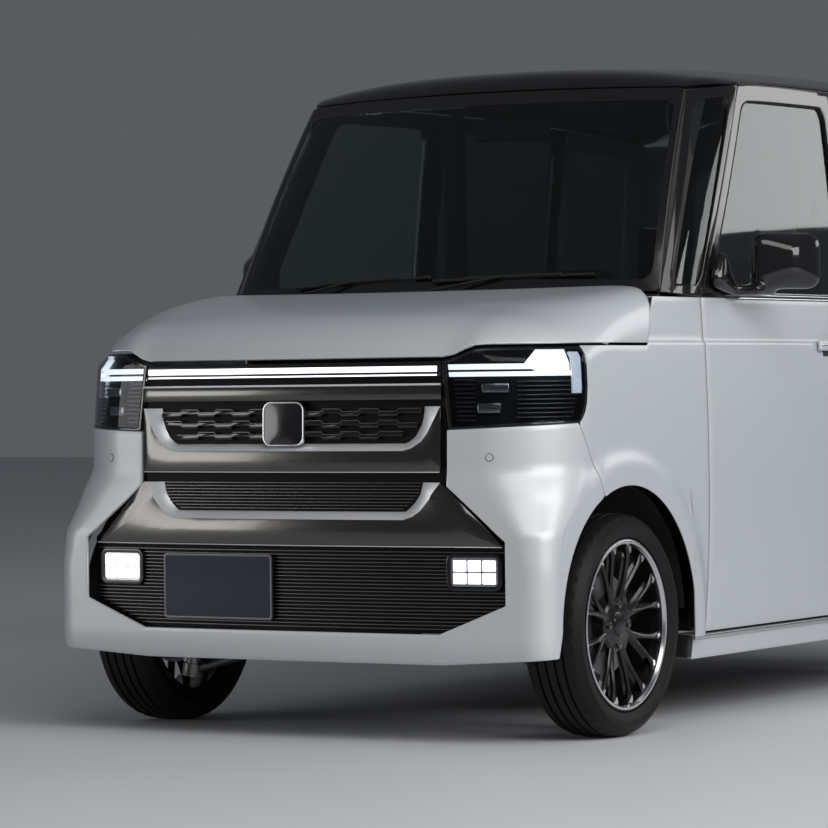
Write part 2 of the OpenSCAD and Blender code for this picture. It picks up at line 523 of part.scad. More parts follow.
module windscreen() color("lightblue") {
  p = [for (v = steps(0, 1, 6)) [for (u = steps(-0.995, 0.995, 12)) let (top = [head_a[0] * u, roof_front(head_a[0] * u) - 5.1,
    roof_edge(head_a[0] * u) - 4]) mix([foot_a[0] * u, axle_f + 230 + 94 * u * u, belt_z + 26 - 10 * u * u], top, v)
    + 4 * v * (1 - v) * [0, -12, 12]]];
  skin(p, inset(p, glass_t));
}

// Nose: a black panel with slats behind bright bars
grille_sag = 43;
panel_d = [14, 28];
function face(s, z, d) = [s, d - nose(z) + grille_sag * pow(s / intake_x, 2), z];
module strip(s0, s1, z0, z1, d0, d1, n = 6) {
  g = function (d) [for (z = [z0, z1]) [for (s = steps(s0, s1, n)) face(s, z, d)]];
  skin(g(d0), g(d1));
}
function panel_half(z) = z > lamp_z ? mix(456, 442, (z - lamp_z) / (hood_z - 12 - lamp_z)) : lookup(z, open_rows);
panel_zs = [277, 350, 430, 505, 596, 640, lamp_z, hood_z - 12];
// Slats behind the bars: height, depth of the slat
slat_rows = [[752, 12], [786, 12], [820, 12], [590, 7], [602, 7], [614, 7], [626, 7], [638, 7], [650, 7]];
// Bright bars bent to a U: height, outer half width, inner half width
upper_bar = [[672, 444, 330], [724, 444, 330], [746, 444, 340], [772, 444, 375], [806, 444, 390], [836, 444, 393]];
lower_bar = [[490, 611, 320], [553, 544, 320], [577, 518, 330], [598, 496, 362], [622, 471, 382], [649, 443, 388]];
function bar_inner(z) = lookup(z, [for (r = z > 700 ? upper_bar : lower_bar) [r[0], r[2]]]);

function intake_half(z) = z > 380 && z < 468 ? 455 : z < 350 ? intake_x - 190 + (z - 277) * 2.5 : intake_x - 14;

module grille_panel() color("black") {
  g = function (d) [for (z = panel_zs) [for (f = steps(-1, 1, 24)) face(f * (panel_half(z) - 0.5), max(z, 277.5), d)]];
  skin(g(panel_d[0]), g(panel_d[1]));
  for (r = slat_rows) strip(4 - bar_inner(r[0]), bar_inner(r[0]) - 4, r[0], r[0] + r[1], 4, 16, 8);
  for (z = [300:22:470]) strip(-intake_half(z), intake_half(z), z, z + 8, 8, 16, 8);
}

module u_bar(rows) {
  g = function (d) [for (r = rows) [for (f = both_ways([0, 0.25, 0.5, 0.75, 1, 1.5, 2]))
    face(sign(f) * (abs(f) > 1 ? mix(r[2], r[1], abs(f) - 1) : abs(f) * r[2]), r[0], d)]];
  skin(g(-3), g(panel_d[0] - 1), function (i, j) i < 2 || j < 2 || j > 9);
}

module grille_bars() color("silver") {
  strip(-grille_x, grille_x, 853, 892, -2, 13.4, 10);
  u_bar(upper_bar);
  u_bar(lower_bar);
}

lamp_t = 45;
function lamp_in(z) = mix(462, 441, (z - lamp_z) / 170) + seam;
function lamp_end(z) = s_at_y(lamp_y + 6 - seam, z, -1);
function lamp_pt(v, f) = let (z = mix(lamp_z + 3 * seam + 13 * f, hood_edge(440 + 300 * f) - door_gap - 3, v)) pt(mix(lamp_in(z), lamp_end(z), f), z, -1);

module headlamps() color("dimgray") both() {
  p = [for (v = [0, 0.3, 0.6, 0.85, 1]) [for (f = [0, 0.15, 0.3, 0.45, 0.6, 0.7, 0.8, 0.9, 1]) lamp_pt(v, f)]];
  i = inset_level(p, lamp_t);
  skin(p, [for (r = [0:4]) [for (c = [0:8])
    c < 3 ? p[r][c] + [0, lamp_t, 0] : c == 8 ? p[r][c] - [lamp_t, 0, 0] : i[r][c]]]);
}

module light_bar() color("white") strip(-440, 440, 909, hood_z - door_gap - 4, 0, 13.4, 10);

module fog_lamps() color("white") both() strip(468, 588, 397, 463, 3, 13.4, 3);

module front_plate() color("navy") {
  translate([-205 - plate_w / 2, front_y + 1, 385 - plate_h / 2]) cube([plate_w, 6, plate_h]);
  for (x = [-100, -310]) box([x - 15, x + 15], [front_y + 6, face(x + 15, 390, 7.5)[1]], [360, 420]);
}

// Door mirror on a short foot at the belt
mirror_y = axle_f + 655;
mirror_z = [1128, 1280];
mirror_r = 36;

module door_mirror() {
  hull() for (z = [mirror_z[0] + mirror_r, mirror_z[1] - mirror_r]) {
    translate([785, mirror_y + 10, z]) sphere(r = mirror_r, $fn = 16);
    translate([870, mirror_y + 100, z]) sphere(r = mirror_r, $fn = 16);
    translate([850, mirror_y + 40, (z + mirror_z[0] + mirror_r) / 2 + 20]) sphere(r = mirror_r, $fn = 16);
  }
  box([belt_half + seam, 800], [mirror_y - 50, mirror_y + 60], [belt_z + 6, belt_z + 34]);
}

module mirror_left() color("black") {
  door_mirror();
  intersection() {
    hull() {
      translate([714, mirror_y - 128, 1158]) sphere(r = 30, $fn = 20);
      translate([714, mirror_y - 105, 1206]) sphere(r = 24, $fn = 20);
      translate([726, mirror_y - 55, 1128]) sphere(r = 15, $fn = 20);
    }
    box([belt_half + seam, 800], [mirror_y - 200, mirror_y], [belt_z + 4, 1280]);
  }
}

module mirror_right() color("black") mirror([1, 0, 0]) door_mirror();

module wipers() color("black") for (w = [[-0.62, 0.06], [0.14, 0.8]]) {
  rod(cowl_p(w[0], 0.62) + [0, 0, 20], cowl_p(w[1], 0.62) + [0, 0, 20], 7);
  translate(cowl_p(w[0], 0.62) + [10, 0, w[0] < 0 ? 5.6 : 4.7]) cylinder(h = 17, r = 9);
}

// Cabin
hand = [-330, axle_f + 830, 973];
hand_dir = [0, sin(66), cos(66)];

module dashboard() color("dimgray") {
  w = floor_half - post_w - seam;
  box([-w, w], [axle_f + 425 + seam, axle_f + 640], [760, 1060]);
  rod(hand - 225 * hand_dir, hand - 20.3 * hand_dir, 22);
}

module steering_wheel() color("black") translate(hand) rotate([-66, 0, 0]) {
  rotate_extrude() translate([168, 0]) circle(r = 15, $fn = 16);
  cylinder(h = 40, r = 60, center = true);
  for (a = [0, 180, 270]) rotate([0, 0, a]) translate([0, -16, -8]) cube([168, 32, 16]);
}

module seat(w, z, base_l) translate([0, 0, z]) {
  translate([-w / 2, 0, 0]) cube([w, 480, 130]);
  translate([-w / 2, 430, 60]) rotate([-14, 0, 0]) cube([w, 110, 560]);
  translate([-120, 590, 650]) rotate([-10, 0, 0]) cube([240, 80, 170]);
  for (x = [-60, 60]) rod([x, 600, 560], [x, 640, 700], 7);
  box([-w / 2 + 40, w / 2 - 40], [60, 60 + base_l], [290 + seam - z, 5]);
}

module front_seats() color("gray") for (x = [-330, 330]) translate([x, axle_f + wheelbase * 0.401, 0]) seat(450, 410, 340);

module rear_seat() color("gray") for (x = [-235, 235]) translate([x, axle_r - wheelbase * 0.246, 0]) seat(450, 450, 150);

module engine_block() color("gray") box([-310 + seam, 310 - seam], [front_y + 125, axle_f + 330], [300, 780]);

// Front suspension: arms on the car, knuckle with strut steered with the wheel
module lower_arms() color("dimgray") both() {
  ball = king(king_low[1]) - 44 * king_dir;
  rod([330, axle_f + 30, 215], ball, 12);
  rod([330, axle_f + 240, 235], ball, 11);
  box([310 + seam, 345], [axle_f - 20, axle_f + 280], [205, 470 - seam]);
  rod(ball - 10 * king_dir, ball + 24 * king_dir, 26);
}

module knuckle() {
  rod(king(king_low[1]) - (20 - seam) * king_dir, king(king_low[1]) + 12 * king_dir, 18);
  box([king_low[0] - 25, king_low[0] + 5], [axle_f - 30, axle_f + 30], [king_low[1] + 5, 400]);
  tube_x(king_low[0] - 30, hub_x - 12, axle_f, tyre_r, 45);
  tube_x(hub_x - 20, hub_x + 45, axle_f, tyre_r, 22);
  rod(king(330), king(620), 14);
  rod(king(600), king(795), 50);
  rod(king(790), king(king_top[1]), 30);
}

module knuckle_left() color("dimgray") knuckle();

module knuckle_right() color("dimgray") mirror([1, 0, 0]) knuckle();

module rear_axle() color("dimgray") {
  tube_x(-420, 420, axle_r - 150, 300, 34);
  both() {
    rod([420, axle_r - 356, 330], [420, axle_r + 10, 290], 32);
    tube_x(410, hub_x - 12, axle_r, tyre_r, 45);
    tube_x(hub_x - 20, hub_x + 45, axle_r, tyre_r, 22);
  }
}

module fuel_tank() color("black") box([-330, 330], [axle_f + wheelbase * 0.437, axle_f + wheelbase * 0.694], [190, 255 - seam]);

module exhaust() color("dimgray") {
  rod([-370, axle_f + 480, 229], [-370, axle_r + 110, 229], 25);
  box([-450, -90], [axle_r + 100, axle_r + 300], [210, 400 - seam]);
}

// Road wheels: spokes in pairs that part towards the rim
function spoke_leg(k) = let (r = rim_r - 20, c = r * tan(180 / spokes))
  [[46, k], [46, 15 * k], [r - 33, (c - 1) * k], [r, (c + 13) * k], [r, (c - 13) * k], [r - 33, (c - 13) * k]];

module rim() {
  rotate([0, 90, 0]) rotate_extrude($fn = 48) polygon([[rim_r - 22, -70], [rim_r, -76], [rim_r, -70], [rim_r - 8, -58], [rim_r - 8, 50],
    [rim_r, 66], [rim_r, 72], [rim_r - 12, 70], [rim_r - 18, 50], [rim_r - 18, -58]]);
  difference() {
    union() {
      tube_x(-10, 52, 0, 0, 62);
      for (i = [0:spokes - 1]) rotate([(floor(i / 2) * 2 + 1) * 360 / spokes, 0, 0]) rotate([0, -90, 0])
        translate([0, 0, -56]) linear_extrude(height = 20) polygon(spoke_leg(i % 2 * 2 - 1));
    }
    tube_x(-20, 45.5, 0, 0, 22 + run);
  }
}

module tyre() rotate([0, 90, 0]) rotate_extrude($fn = 48) polygon([[rim_r - 7.7, -56.5], [rim_r + 0.6, -69], [rim_r + 22, -tyre_w / 2 + 3], [rim_r + 40, -tyre_w / 2],
  [tyre_r - 18, -tyre_w / 2 + 8], [tyre_r - 5, -tyre_w / 2 + 20], [tyre_r, -tyre_w / 2 + 40], [tyre_r, tyre_w / 2 - 40],
  [tyre_r - 5, tyre_w / 2 - 20], [tyre_r - 18, tyre_w / 2 - 8], [rim_r + 40, tyre_w / 2], [rim_r + 22, tyre_w / 2 - 3], [rim_r + 0.6, 65], [rim_r - 7.7, 48.5]]);

module at_wheel(side, y) translate([side * hub_x, y, tyre_r]) rotate([0, 0, side > 0 ? 0 : 180]) children();

module rim_front_left() color("black") at_wheel(1, axle_f) rim();
module rim_front_right() color("black") at_wheel(-1, axle_f) rim();
module rim_rear_left() color("black") at_wheel(1, axle_r) rim();
module rim_rear_right() color("black") at_wheel(-1, axle_r) rim();
module tyre_front_left() color("black") at_wheel(1, axle_f) tyre();
module tyre_front_right() color("black") at_wheel(-1, axle_f) tyre();
module tyre_rear_left() color("black") at_wheel(1, axle_r) tyre();
module tyre_rear_right() color("black") at_wheel(-1, axle_r) tyre();

floor_pan();
front_frame();
pillars();
roof_panel();
front_fenders();
rear_quarters();
sliding_doors();
side_sills();
cowl();
front_bumper();
rear_bumper();
hood();
front_door_left();
front_door_right();
tailgate();
windscreen();
door_glass_left();
door_glass_right();
side_windows();
tailgate_glass();
grille_panel();
grille_bars();
headlamps();
light_bar();
fog_lamps();
tail_lamps();
front_plate();
mirror_left();
mirror_right();
wipers();
dashboard();
steering_wheel();
front_seats();
rear_seat();
engine_block();
lower_arms();
knuckle_left();
knuckle_right();
rear_axle();
fuel_tank();
exhaust();
rim_front_left();
rim_front_right();
rim_rear_left();
rim_rear_right();
tyre_front_left();
tyre_front_right();
tyre_rear_left();
tyre_rear_right();
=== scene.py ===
import bpy
from collections import namedtuple
from functools import lru_cache
from math import acos, asin, cos, exp, hypot, pi, radians, sin, sqrt, tan
from mathutils import Matrix, Vector


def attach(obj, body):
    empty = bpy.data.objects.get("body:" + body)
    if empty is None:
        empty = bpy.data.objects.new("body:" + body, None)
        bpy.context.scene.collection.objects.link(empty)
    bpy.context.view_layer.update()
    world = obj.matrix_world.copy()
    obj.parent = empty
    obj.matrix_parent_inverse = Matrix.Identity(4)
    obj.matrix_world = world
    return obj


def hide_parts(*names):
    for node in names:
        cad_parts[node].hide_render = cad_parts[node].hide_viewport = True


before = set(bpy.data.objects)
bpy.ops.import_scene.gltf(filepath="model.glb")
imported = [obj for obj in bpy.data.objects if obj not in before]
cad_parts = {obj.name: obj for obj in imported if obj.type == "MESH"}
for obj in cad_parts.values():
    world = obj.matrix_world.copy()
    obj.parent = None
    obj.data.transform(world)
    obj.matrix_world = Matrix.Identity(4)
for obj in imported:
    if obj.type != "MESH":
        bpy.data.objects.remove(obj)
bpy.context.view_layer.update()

# Driving dimensions of the car, in millimetres, as in the part's source
MM = 0.001
CAR_L, CAR_W, CAR_H = 3395, 1475, 1790
FRONT_Y, REAR_Y = -CAR_L / 2, CAR_L / 2
AXLE_F = FRONT_Y + 455
AXLE_R = AXLE_F + 2520
HUB_X, TYRE_R, TYRE_W, RIM_R = 652.5, 281, 165, 216
ARCH_R, FLARE_OUT, FLARE_BAND, FLARE_W = 350, 9.5, 48, 50
HALF_W = CAR_W / 2 - FLARE_OUT
SILL_Z, DOOR_Z, WAIST_Z, CREASE_Z, BELT_Z = 168, 238, 620, 985, 1107
RAIL_Z, BELT_HALF, TUMBLE = CAR_H - 98, HALF_W - 20, 58
RAIL_HALF = BELT_HALF - TUMBLE
RAIL_Y, CROWN_Y, GAP = 350, 700, 7
DOOR_Y = AXLE_F + 454
DOOR_END = DOOR_Y + 900
SLIDE_Y, SLIDE_END = DOOR_END + GAP, AXLE_R - 385
RAKE, SASH = 336, 45
HOOD_Z, LAMP_Z, CHIN_Z, INTAKE_X = 958, 778, 200, 625
LAMP_Y, HOOD_END, SEAM_Y = AXLE_F - 232, AXLE_F + 128, AXLE_F - 128
TAIL_GATE_Z, GATE_HALF = 548, 590
NOSE_CORNERS = ((430, 70), (520, 95), (600, 172), (676, 226), (790, 226), (950, 240), (CREASE_Z, 335))
NOSE_BOWS = ((520, 3), (676, 8.5))
OPEN_ROWS = ((277, 440), (350, INTAKE_X), (505, INTAKE_X), (640, 456))

# How far the surfaces lean, fall and bow
SILL_TUCK, BELT_TUCK, PANE_BOW, SHOULDER, CREASE_ROLL = 25, 14, 24, 6, 14
RAIL_FALL_F, RAIL_FALL_R, CROWN_FALL, CROWN_POWER, CROWN_ROLL = 20, 30, 30, 2.4, 0.8
ROOF_Y, ROOF_BOW, ROOF_DIP, ROOF_DIP_BOW, ROOF_ROLL, ROOF_END = AXLE_F + 545, 75, 11, 8, 30, 32
NOSE_SET, NOSE_LEAN, LEAN_Z, LEAN_RUN, FACE_BOW = 3, 9, 600, 380, 43
CHIN_IN, CHIN_TOP, CHIN_ROLL, CHIN_LIFT, CHIN_RUN = 22, 270, 80, 20, 38
TAIL_SET, TAIL_LEAN, TAIL_RUN, TAIL_POWER = 26, 70, 1160, 1.6
TAIL_CHIN_IN, TAIL_CHIN_TOP, TAIL_CORNER, TAIL_BOW = 12, 300, 110, 8.5
CORNER_RUN, LAMP_FOOT, SHUT = 45, 13, 4
LAMP_X, LAMP_RISE, HOOD_TOP, HOOD_LIP, HOOD_TURN = 440, 90, BELT_Z + 30, 1040, 655
HOOD_BACK, HOOD_BACK_BOW, HOOD_SWEEP, HOOD_TURN_W = AXLE_F + 152, 55, 50, 33
HOOD_RISE, HOOD_ROLL_RUN, HOOD_LIP_ROLL = 640, 400, 55
LAMP_IN_LOW, LAMP_IN_TOP, LAMP_H = 462, 441, 170
HOOD_ROLL_F, HOOD_ROLL_R, SCREEN_Y, SCREEN_BOW, COWL_X = 5, 26, AXLE_F + 230, 94, 640
LAMP_SWING = ((LAMP_Z + 15, 0), (800, 10), (815, 22), (840, 32), (880, 38), (960, 38), (985, 34))

# Thickness of the pieces and the rounding of their edges
SKIN, SKIN_EDGE, PANE = 3, 0.8, 4
TRIM, TRIM_EDGE, INSET = 50, 6, 9
SASH_DEEP, SASH_EDGE = 28, 1.5

SIDES = ((1, "left"), (-1, "right"))
NOSE, TAIL = -1, 1


# ---- the body's shape ----
def clamp01(t):
    return min(1.0, max(0.0, t))


def ease(t):
    c = clamp01(t)
    return c * c * (3 - 2 * c)


def mix(a, b, t):
    return a + (b - a) * t


def steps(a, b, n):
    return [mix(a, b, i / n) for i in range(n + 1)]


def closing(n, power):
    """Steps from 0 to 1 that lie closer together at the start."""
    return [t ** power for t in steps(0, 1, n)]


def lookup(x, rows):
    if x <= rows[0][0]:
        return rows[0][1]
    for (x0, y0), (x1, y1) in zip(rows, rows[1:]):
        if x <= x1:
            return mix(y0, y1, (x - x0) / (x1 - x0))
    return rows[-1][1]


def bulge(y, z, a):
    return ease(1 - (hypot(y - a, z - TYRE_R) - ARCH_R - FLARE_BAND) / FLARE_W)


def tuck(z):
    if z < WAIST_Z:
        return SILL_TUCK * ((WAIST_Z - z) / (WAIST_Z - SILL_Z)) ** 2
    return BELT_TUCK * ((z - WAIST_Z) / (BELT_Z - WAIST_Z)) ** 2


def side_x(y, z):
    """Half width of the body at a place along the car and a height."""
    if z > BELT_Z:
        t = (z - BELT_Z) / (RAIL_Z - BELT_Z)
        return BELT_HALF - TUMBLE * t + PANE_BOW * t * (1 - t)
    f = max(bulge(y, z, AXLE_F), bulge(y, z, AXLE_R))
    return HALF_W - tuck(z) * (1 - f) - SHOULDER * ease((z - CREASE_Z) / CREASE_ROLL) + FLARE_OUT * f


def side_pt(y, z):
    return Vector((side_x(y, z), y, z))


def rail_at(y):
    d = (y - RAIL_Y) / 1000
    return RAIL_Z - (RAIL_FALL_F * d ** 4 if y < RAIL_Y else RAIL_FALL_R * d * d)


def roof_z(x, y):
    e = rail_at(y) + GAP
    crown = CAR_H - CROWN_FALL * ((y - CROWN_Y) / 1000) ** 2
    return e + (crown - e) * max(0, 1 - (abs(x) / RAIL_HALF) ** CROWN_POWER) ** CROWN_ROLL


def nose(z):
    lean, chin = clamp01((z - LEAN_Z) / LEAN_RUN), clamp01((CHIN_TOP - z) / CHIN_ROLL)
    return CAR_L / 2 - NOSE_SET - NOSE_LEAN * lean ** 2 - CHIN_IN * chin ** 2


def tail(z):
    if z < TAIL_GATE_Z - SHUT:
        return CAR_L / 2 - TAIL_CHIN_IN * clamp01((TAIL_CHIN_TOP - z) / CHIN_ROLL) ** 2
    return CAR_L / 2 - TAIL_SET - TAIL_LEAN * ((z - TAIL_GATE_Z + SHUT) / TAIL_RUN) ** TAIL_POWER


# The outline at one height: centre and radius of its corner, where the corner starts, and the bow of the end
Plan = namedtuple("Plan", "x y r start k far bow")


@lru_cache(maxsize=None)
def plan(z, e):
    r = TAIL_CORNER if e > 0 else lookup(z, NOSE_CORNERS)
    b = radians(TAIL_BOW if e > 0 else lookup(z, NOSE_BOWS))
    far = nose(z) if e < 0 else tail(z)
    s = side_x(e * (far - CORNER_RUN - r), z)
    start = s - r * (1 - sin(b))
    k = tan(b) / (2 * start)
    return Plan(s - r, far - k * start * start - r * cos(b), r, start, k, far, b)


def arc_len(c):
    return c.r * (pi / 2 - c.bow)


def pt(s, z, e):
    """A point on the outline at a height, s along it from the middle of the nose or the tail."""
    c = plan(z, e)
    a = abs(s)
    if a <= c.start:
        x, y = a, e * (c.far - c.k * a * a)
    elif a <= c.start + arc_len(c):
        t = c.bow + (a - c.start) / c.r
        x, y = c.x + c.r * sin(t), e * (c.y + c.r * cos(t))
    else:
        y = e * (c.y - (a - c.start - arc_len(c)))
        x = side_x(y, z)
    return Vector((-x if s < 0 else x, y, z))


def deep_pt(s, z, e, d):
    """The same point moved in by d, square to the outline."""
    t = pt(s + 1, z, e) - pt(s - 1, z, e)
    return pt(s, z, e) + d * Vector((t.y, -t.x, 0)).normalized() * e


def s_at_x(x, z, e):
    c = plan(z, e)
    return x if x <= c.start else c.start + c.r * (asin(min(1, (x - c.x) / c.r)) - c.bow)


def s_at_y(y, z, e):
    c = plan(z, e)
    d = e * y
    if d < c.y:
        return c.start + arc_len(c) + c.y - d
    return c.start + c.r * (acos(min(1, (d - c.y) / c.r)) - c.bow)


def arch_z(y, a):
    return TYRE_R + sqrt(max(0, ARCH_R ** 2 - (y - a) ** 2))


def round_arch(axle, a, b, n):
    return [axle + ARCH_R * cos(radians(t)) for t in steps(a, b, n)]


SEAM_Z = arch_z(SEAM_Y, AXLE_F)
FOOT_A = Vector((656, AXLE_F + 324, BELT_Z + 14))
FOOT_B = Vector((BELT_HALF, DOOR_Y, BELT_Z + 0.3))
HEAD_A = (RAIL_HALF - 64, ROOF_Y + ROOF_BOW)
HEAD_Z = rail_at(DOOR_Y + RAKE)
HEAD_B = Vector((side_x(0, HEAD_Z), DOOR_Y + RAKE, HEAD_Z))


def quarter(a, b):
    """The pillar beside the windscreen: a from the screen to the door, b from foot to head."""
    ha = Vector((*HEAD_A, roof_edge(HEAD_A[0]) - 10))
    p = mix(mix(FOOT_A, FOOT_B, a), mix(ha, HEAD_B, a), b)
    return p + 40 * b * (1 - b) * Vector((0.8, -0.5, 0.2)) + mix(28, 10, b) * 4 * a * (1 - a) * Vector((0.8, -0.5, 0))


def roof_front(x):
    a = abs(x)
    if a < HEAD_A[0]:
        return ROOF_Y + ROOF_BOW * (a / HEAD_A[0]) ** 2
    return mix(HEAD_A[1], HEAD_B.y, (a - HEAD_A[0]) / (RAIL_HALF - HEAD_A[0]))


def roof_edge(x):
    a = abs(x) / HEAD_A[0]
    if a < 1:
        return RAIL_Z - ROOF_DIP - ROOF_DIP_BOW * a * a
    t = clamp01((abs(x) - HEAD_A[0]) / (RAIL_HALF - HEAD_A[0]))
    return mix(RAIL_Z - ROOF_DIP - ROOF_DIP_BOW, HEAD_Z + GAP, t)


def roof_top(x, y):
    return mix(roof_z(x, y), roof_edge(x), exp(-max(0, y - roof_front(x)) / ROOF_ROLL))


def roof_back(x):
    return pt(s_at_x(abs(x), RAIL_Z, TAIL), RAIL_Z, TAIL).y - ROOF_END - GAP


def roof_pt(x, v):
    y = mix(roof_front(x), roof_back(x), v)
    return x, y, roof_top(x, y)


def screen(u, v):
    """The windscreen: u across from -1 to 1, v from foot to head."""
    x = HEAD_A[0] * u
    top = Vector((x, roof_front(x) - 5.1, roof_edge(x) - 4))
    foot = Vector((FOOT_A.x * u, SCREEN_Y + SCREEN_BOW * u * u, BELT_Z + 26 - 10 * u * u))
    return mix(foot, top, v) + 4 * v * (1 - v) * Vector((0, -12, 12))


def hood_back(x):
    return HOOD_BACK + HOOD_BACK_BOW * (abs(x) / HALF_W) ** 2


HOOD_C = plan(CREASE_Z, NOSE)
HOOD_HALF = HALF_W - SHOULDER


def hood_edge(x):
    return mix(HOOD_Z, CREASE_Z + GAP / 2, ease((abs(x) - LAMP_X) / LAMP_RISE))


def hood_front(x):
    return pt(s_at_x(min(abs(x), HOOD_C.x + HOOD_C.r), CREASE_Z, NOSE), CREASE_Z, NOSE).y


def hood_side(z):
    return HOOD_END + GAP + HOOD_SWEEP * clamp01((z - CREASE_Z) / (BELT_Z - CREASE_Z))


def hood_pt(x, v):
    """The hood: across in millimetres, v from its lip to its rear edge."""
    a, e = abs(x), hood_edge(x)
    u = min(1, a / HOOD_HALF)
    rear = hood_back(x)
    if a > HOOD_TURN:
        z = mix(e, HOOD_TOP, sqrt(max(0, 1 - u ** HOOD_ROLL_R)))
        rear = mix(hood_back(HOOD_TURN), hood_side(min(z, BELT_Z)) - GAP + 2, clamp01((a - HOOD_TURN) / HOOD_TURN_W))
    front = hood_front(x)
    y = mix(front, rear, v)
    top = mix(HOOD_LIP, HOOD_TOP, clamp01((y - FRONT_Y) / HOOD_RISE) ** 0.8)
    power = mix(HOOD_ROLL_F, HOOD_ROLL_R, ease((y - LAMP_Y) / HOOD_ROLL_RUN))
    lip = 1 - exp(-max(0, y - front) / HOOD_LIP_ROLL)
    return Vector((x, y, e + (top - e) * sqrt(max(0, 1 - u ** power)) * lip))


def face(s, z, d):
    """The grille's own bow: s across, d behind the nose."""
    return Vector((s, d - nose(z) + FACE_BOW * (s / INTAKE_X) ** 2, z))


def face_at(d):
    return lambda x, z: face(x, z, d)


def bumper_end(z):
    if z > SEAM_Z:
        return s_at_y(mix(SEAM_Y, LAMP_Y, (z - SEAM_Z) / (LAMP_Z + LAMP_FOOT - SEAM_Z)), z, NOSE)
    dy = sqrt(max(1, ARCH_R ** 2 - (z - TYRE_R) ** 2)) if z > TYRE_R else ARCH_R + (TYRE_R - z) * 0.3
    return s_at_y(AXLE_F - dy, z, NOSE)


def lamp_s(f, z):
    inner = mix(LAMP_IN_LOW, LAMP_IN_TOP, (z - LAMP_Z) / LAMP_H) + 0.3
    return mix(inner, s_at_y(LAMP_Y + 4 + lookup(z, LAMP_SWING), z, NOSE), f)


def lamp_z(f, v):
    return mix(LAMP_Z + 0.9 + LAMP_FOOT * f, hood_edge(LAMP_X + 300 * f) - GAP - 3, v)


def lens(f, v, d=0.0):
    """The headlamp: f from the grille outward, v from foot to top, d behind the lens."""
    z = lamp_z(f, v)
    return deep_pt(lamp_s(f, z), z, NOSE, d)


def lamp_at(d):
    return lambda f, z: deep_pt(lamp_s(f, z), z, NOSE, d)


def cowl_pt(u, v):
    y0, y1 = hood_back(COWL_X * u) + GAP, SCREEN_Y - 2 + SCREEN_BOW * min(1, u * u) - 800 * max(0, abs(u) - 1)
    return Vector((COWL_X * u, mix(y0, y1 + 4, v), mix(1086 - 20 * u * u, BELT_Z + 20 - 10 * u * u, v)))


# ---- modelling ----
def only(obj):
    if bpy.context.mode != "OBJECT":
        bpy.ops.object.mode_set(mode="OBJECT")
    bpy.ops.object.select_all(action="DESELECT")
    obj.select_set(True)
    bpy.context.view_layer.objects.active = obj


def edit(obj):
    only(obj)
    bpy.ops.object.mode_set(mode="EDIT")
    bpy.ops.mesh.select_mode(type="VERT")
    bpy.ops.mesh.select_all(action="SELECT")


def modify(obj, kind, **values):
    only(obj)
    m = obj.modifiers.new(kind, kind)
    for key, value in values.items():
        setattr(m, key, value)
    bpy.ops.object.modifier_apply(modifier=m.name)
    return obj


def sheet(us, vs, surf, side=1):
    """A grid primitive with each vertex put on a surface.

    A mirrored sheet runs the other way, so that both sides face outward.
    """
    if side < 0:
        us = list(us)[::-1]
    n, m = len(us) - 1, len(vs) - 1
    bpy.ops.mesh.primitive_grid_add(x_subdivisions=n, y_subdivisions=m, size=2)
    obj = bpy.context.object
    for v in obj.data.vertices:
        p = surf(us[round((v.co.x + 1) / 2 * n)], vs[round((v.co.y + 1) / 2 * m)])
        v.co = (p[0] * side * MM, p[1] * MM, p[2] * MM)
    return obj


def moved(surf, x=0, y=0, z=0):
    return lambda u, v: surf(u, v) + Vector((x, y, z))


def join(objs):
    only(objs[0])
    for o in objs[1:]:
        o.select_set(True)
    if len(objs) > 1:
        bpy.ops.object.join()
    return bpy.context.object


def merged(obj, dist=0.0002):
    edit(obj)
    bpy.ops.mesh.remove_doubles(threshold=dist)
    bpy.ops.object.mode_set(mode="OBJECT")
    return obj


def face_out(obj, ref=None):
    """Turns a sheet's normals away from the middle of the car, or from a point."""
    total = 0
    for p in obj.data.polygons:
        c = p.center
        r = ref or Vector((0, min(1.0, max(-1.0, c.y)), 0.75))
        total += p.area * p.normal.dot(c - r)
    if total < 0:
        edit(obj)
        bpy.ops.mesh.flip_normals()
        bpy.ops.object.mode_set(mode="OBJECT")
    return obj


def finish_piece(obj, name, key, body="body", nodes=(), slot=None, angle=35):
    """Names a piece, gives it its finish and lets it ride; slot is not used."""
    only(obj)
    obj.name = obj.data.name = name
    bpy.ops.object.shade_smooth_by_angle(angle=radians(angle))
    obj.data.materials.clear()
    obj.data.materials.append(M[key])
    slot = slot or key
    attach(obj, body)
    if nodes:
        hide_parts(*nodes)


def panel(sheets, thick, edge=0.0, ref=None):
    """Joins sheets to one panel, gives it thickness to the inside and rounds its edges."""
    obj = face_out(merged(join(sheets)), ref)
    modify(obj, "SOLIDIFY", thickness=thick * MM, offset=-1)
    if edge:
        modify(obj, "BEVEL", width=edge * MM, segments=2, limit_method="ANGLE", angle_limit=radians(48),
               use_clamp_overlap=False)
    return obj


def plate_of(obj, thick):
    return modify(obj, "SOLIDIFY", thickness=thick * MM, offset=0)


def rounded(u0, u1, v0, v1, ru, rv, n=7, m=8):
    """A closed loop round a rectangle with round corners, the same number of points for any corner."""
    loop = []
    corners = ((u1 - ru, v1 - rv, 0), (u0 + ru, v1 - rv, 1), (u0 + ru, v0 + rv, 2), (u1 - ru, v0 + rv, 3))
    for k, (cu, cv, q) in enumerate(corners):
        arc = [(cu + ru * cos(pi / 2 * (q + i / n)), cv + rv * sin(pi / 2 * (q + i / n))) for i in range(n + 1)]
        loop += arc
        nu, nv, nq = corners[(k + 1) % 4]
        nxt = (nu + ru * cos(pi / 2 * nq), nv + rv * sin(pi / 2 * nq))
        loop += [(mix(arc[-1][0], nxt[0], i / m), mix(arc[-1][1], nxt[1], i / m)) for i in range(1, m)]
    return loop


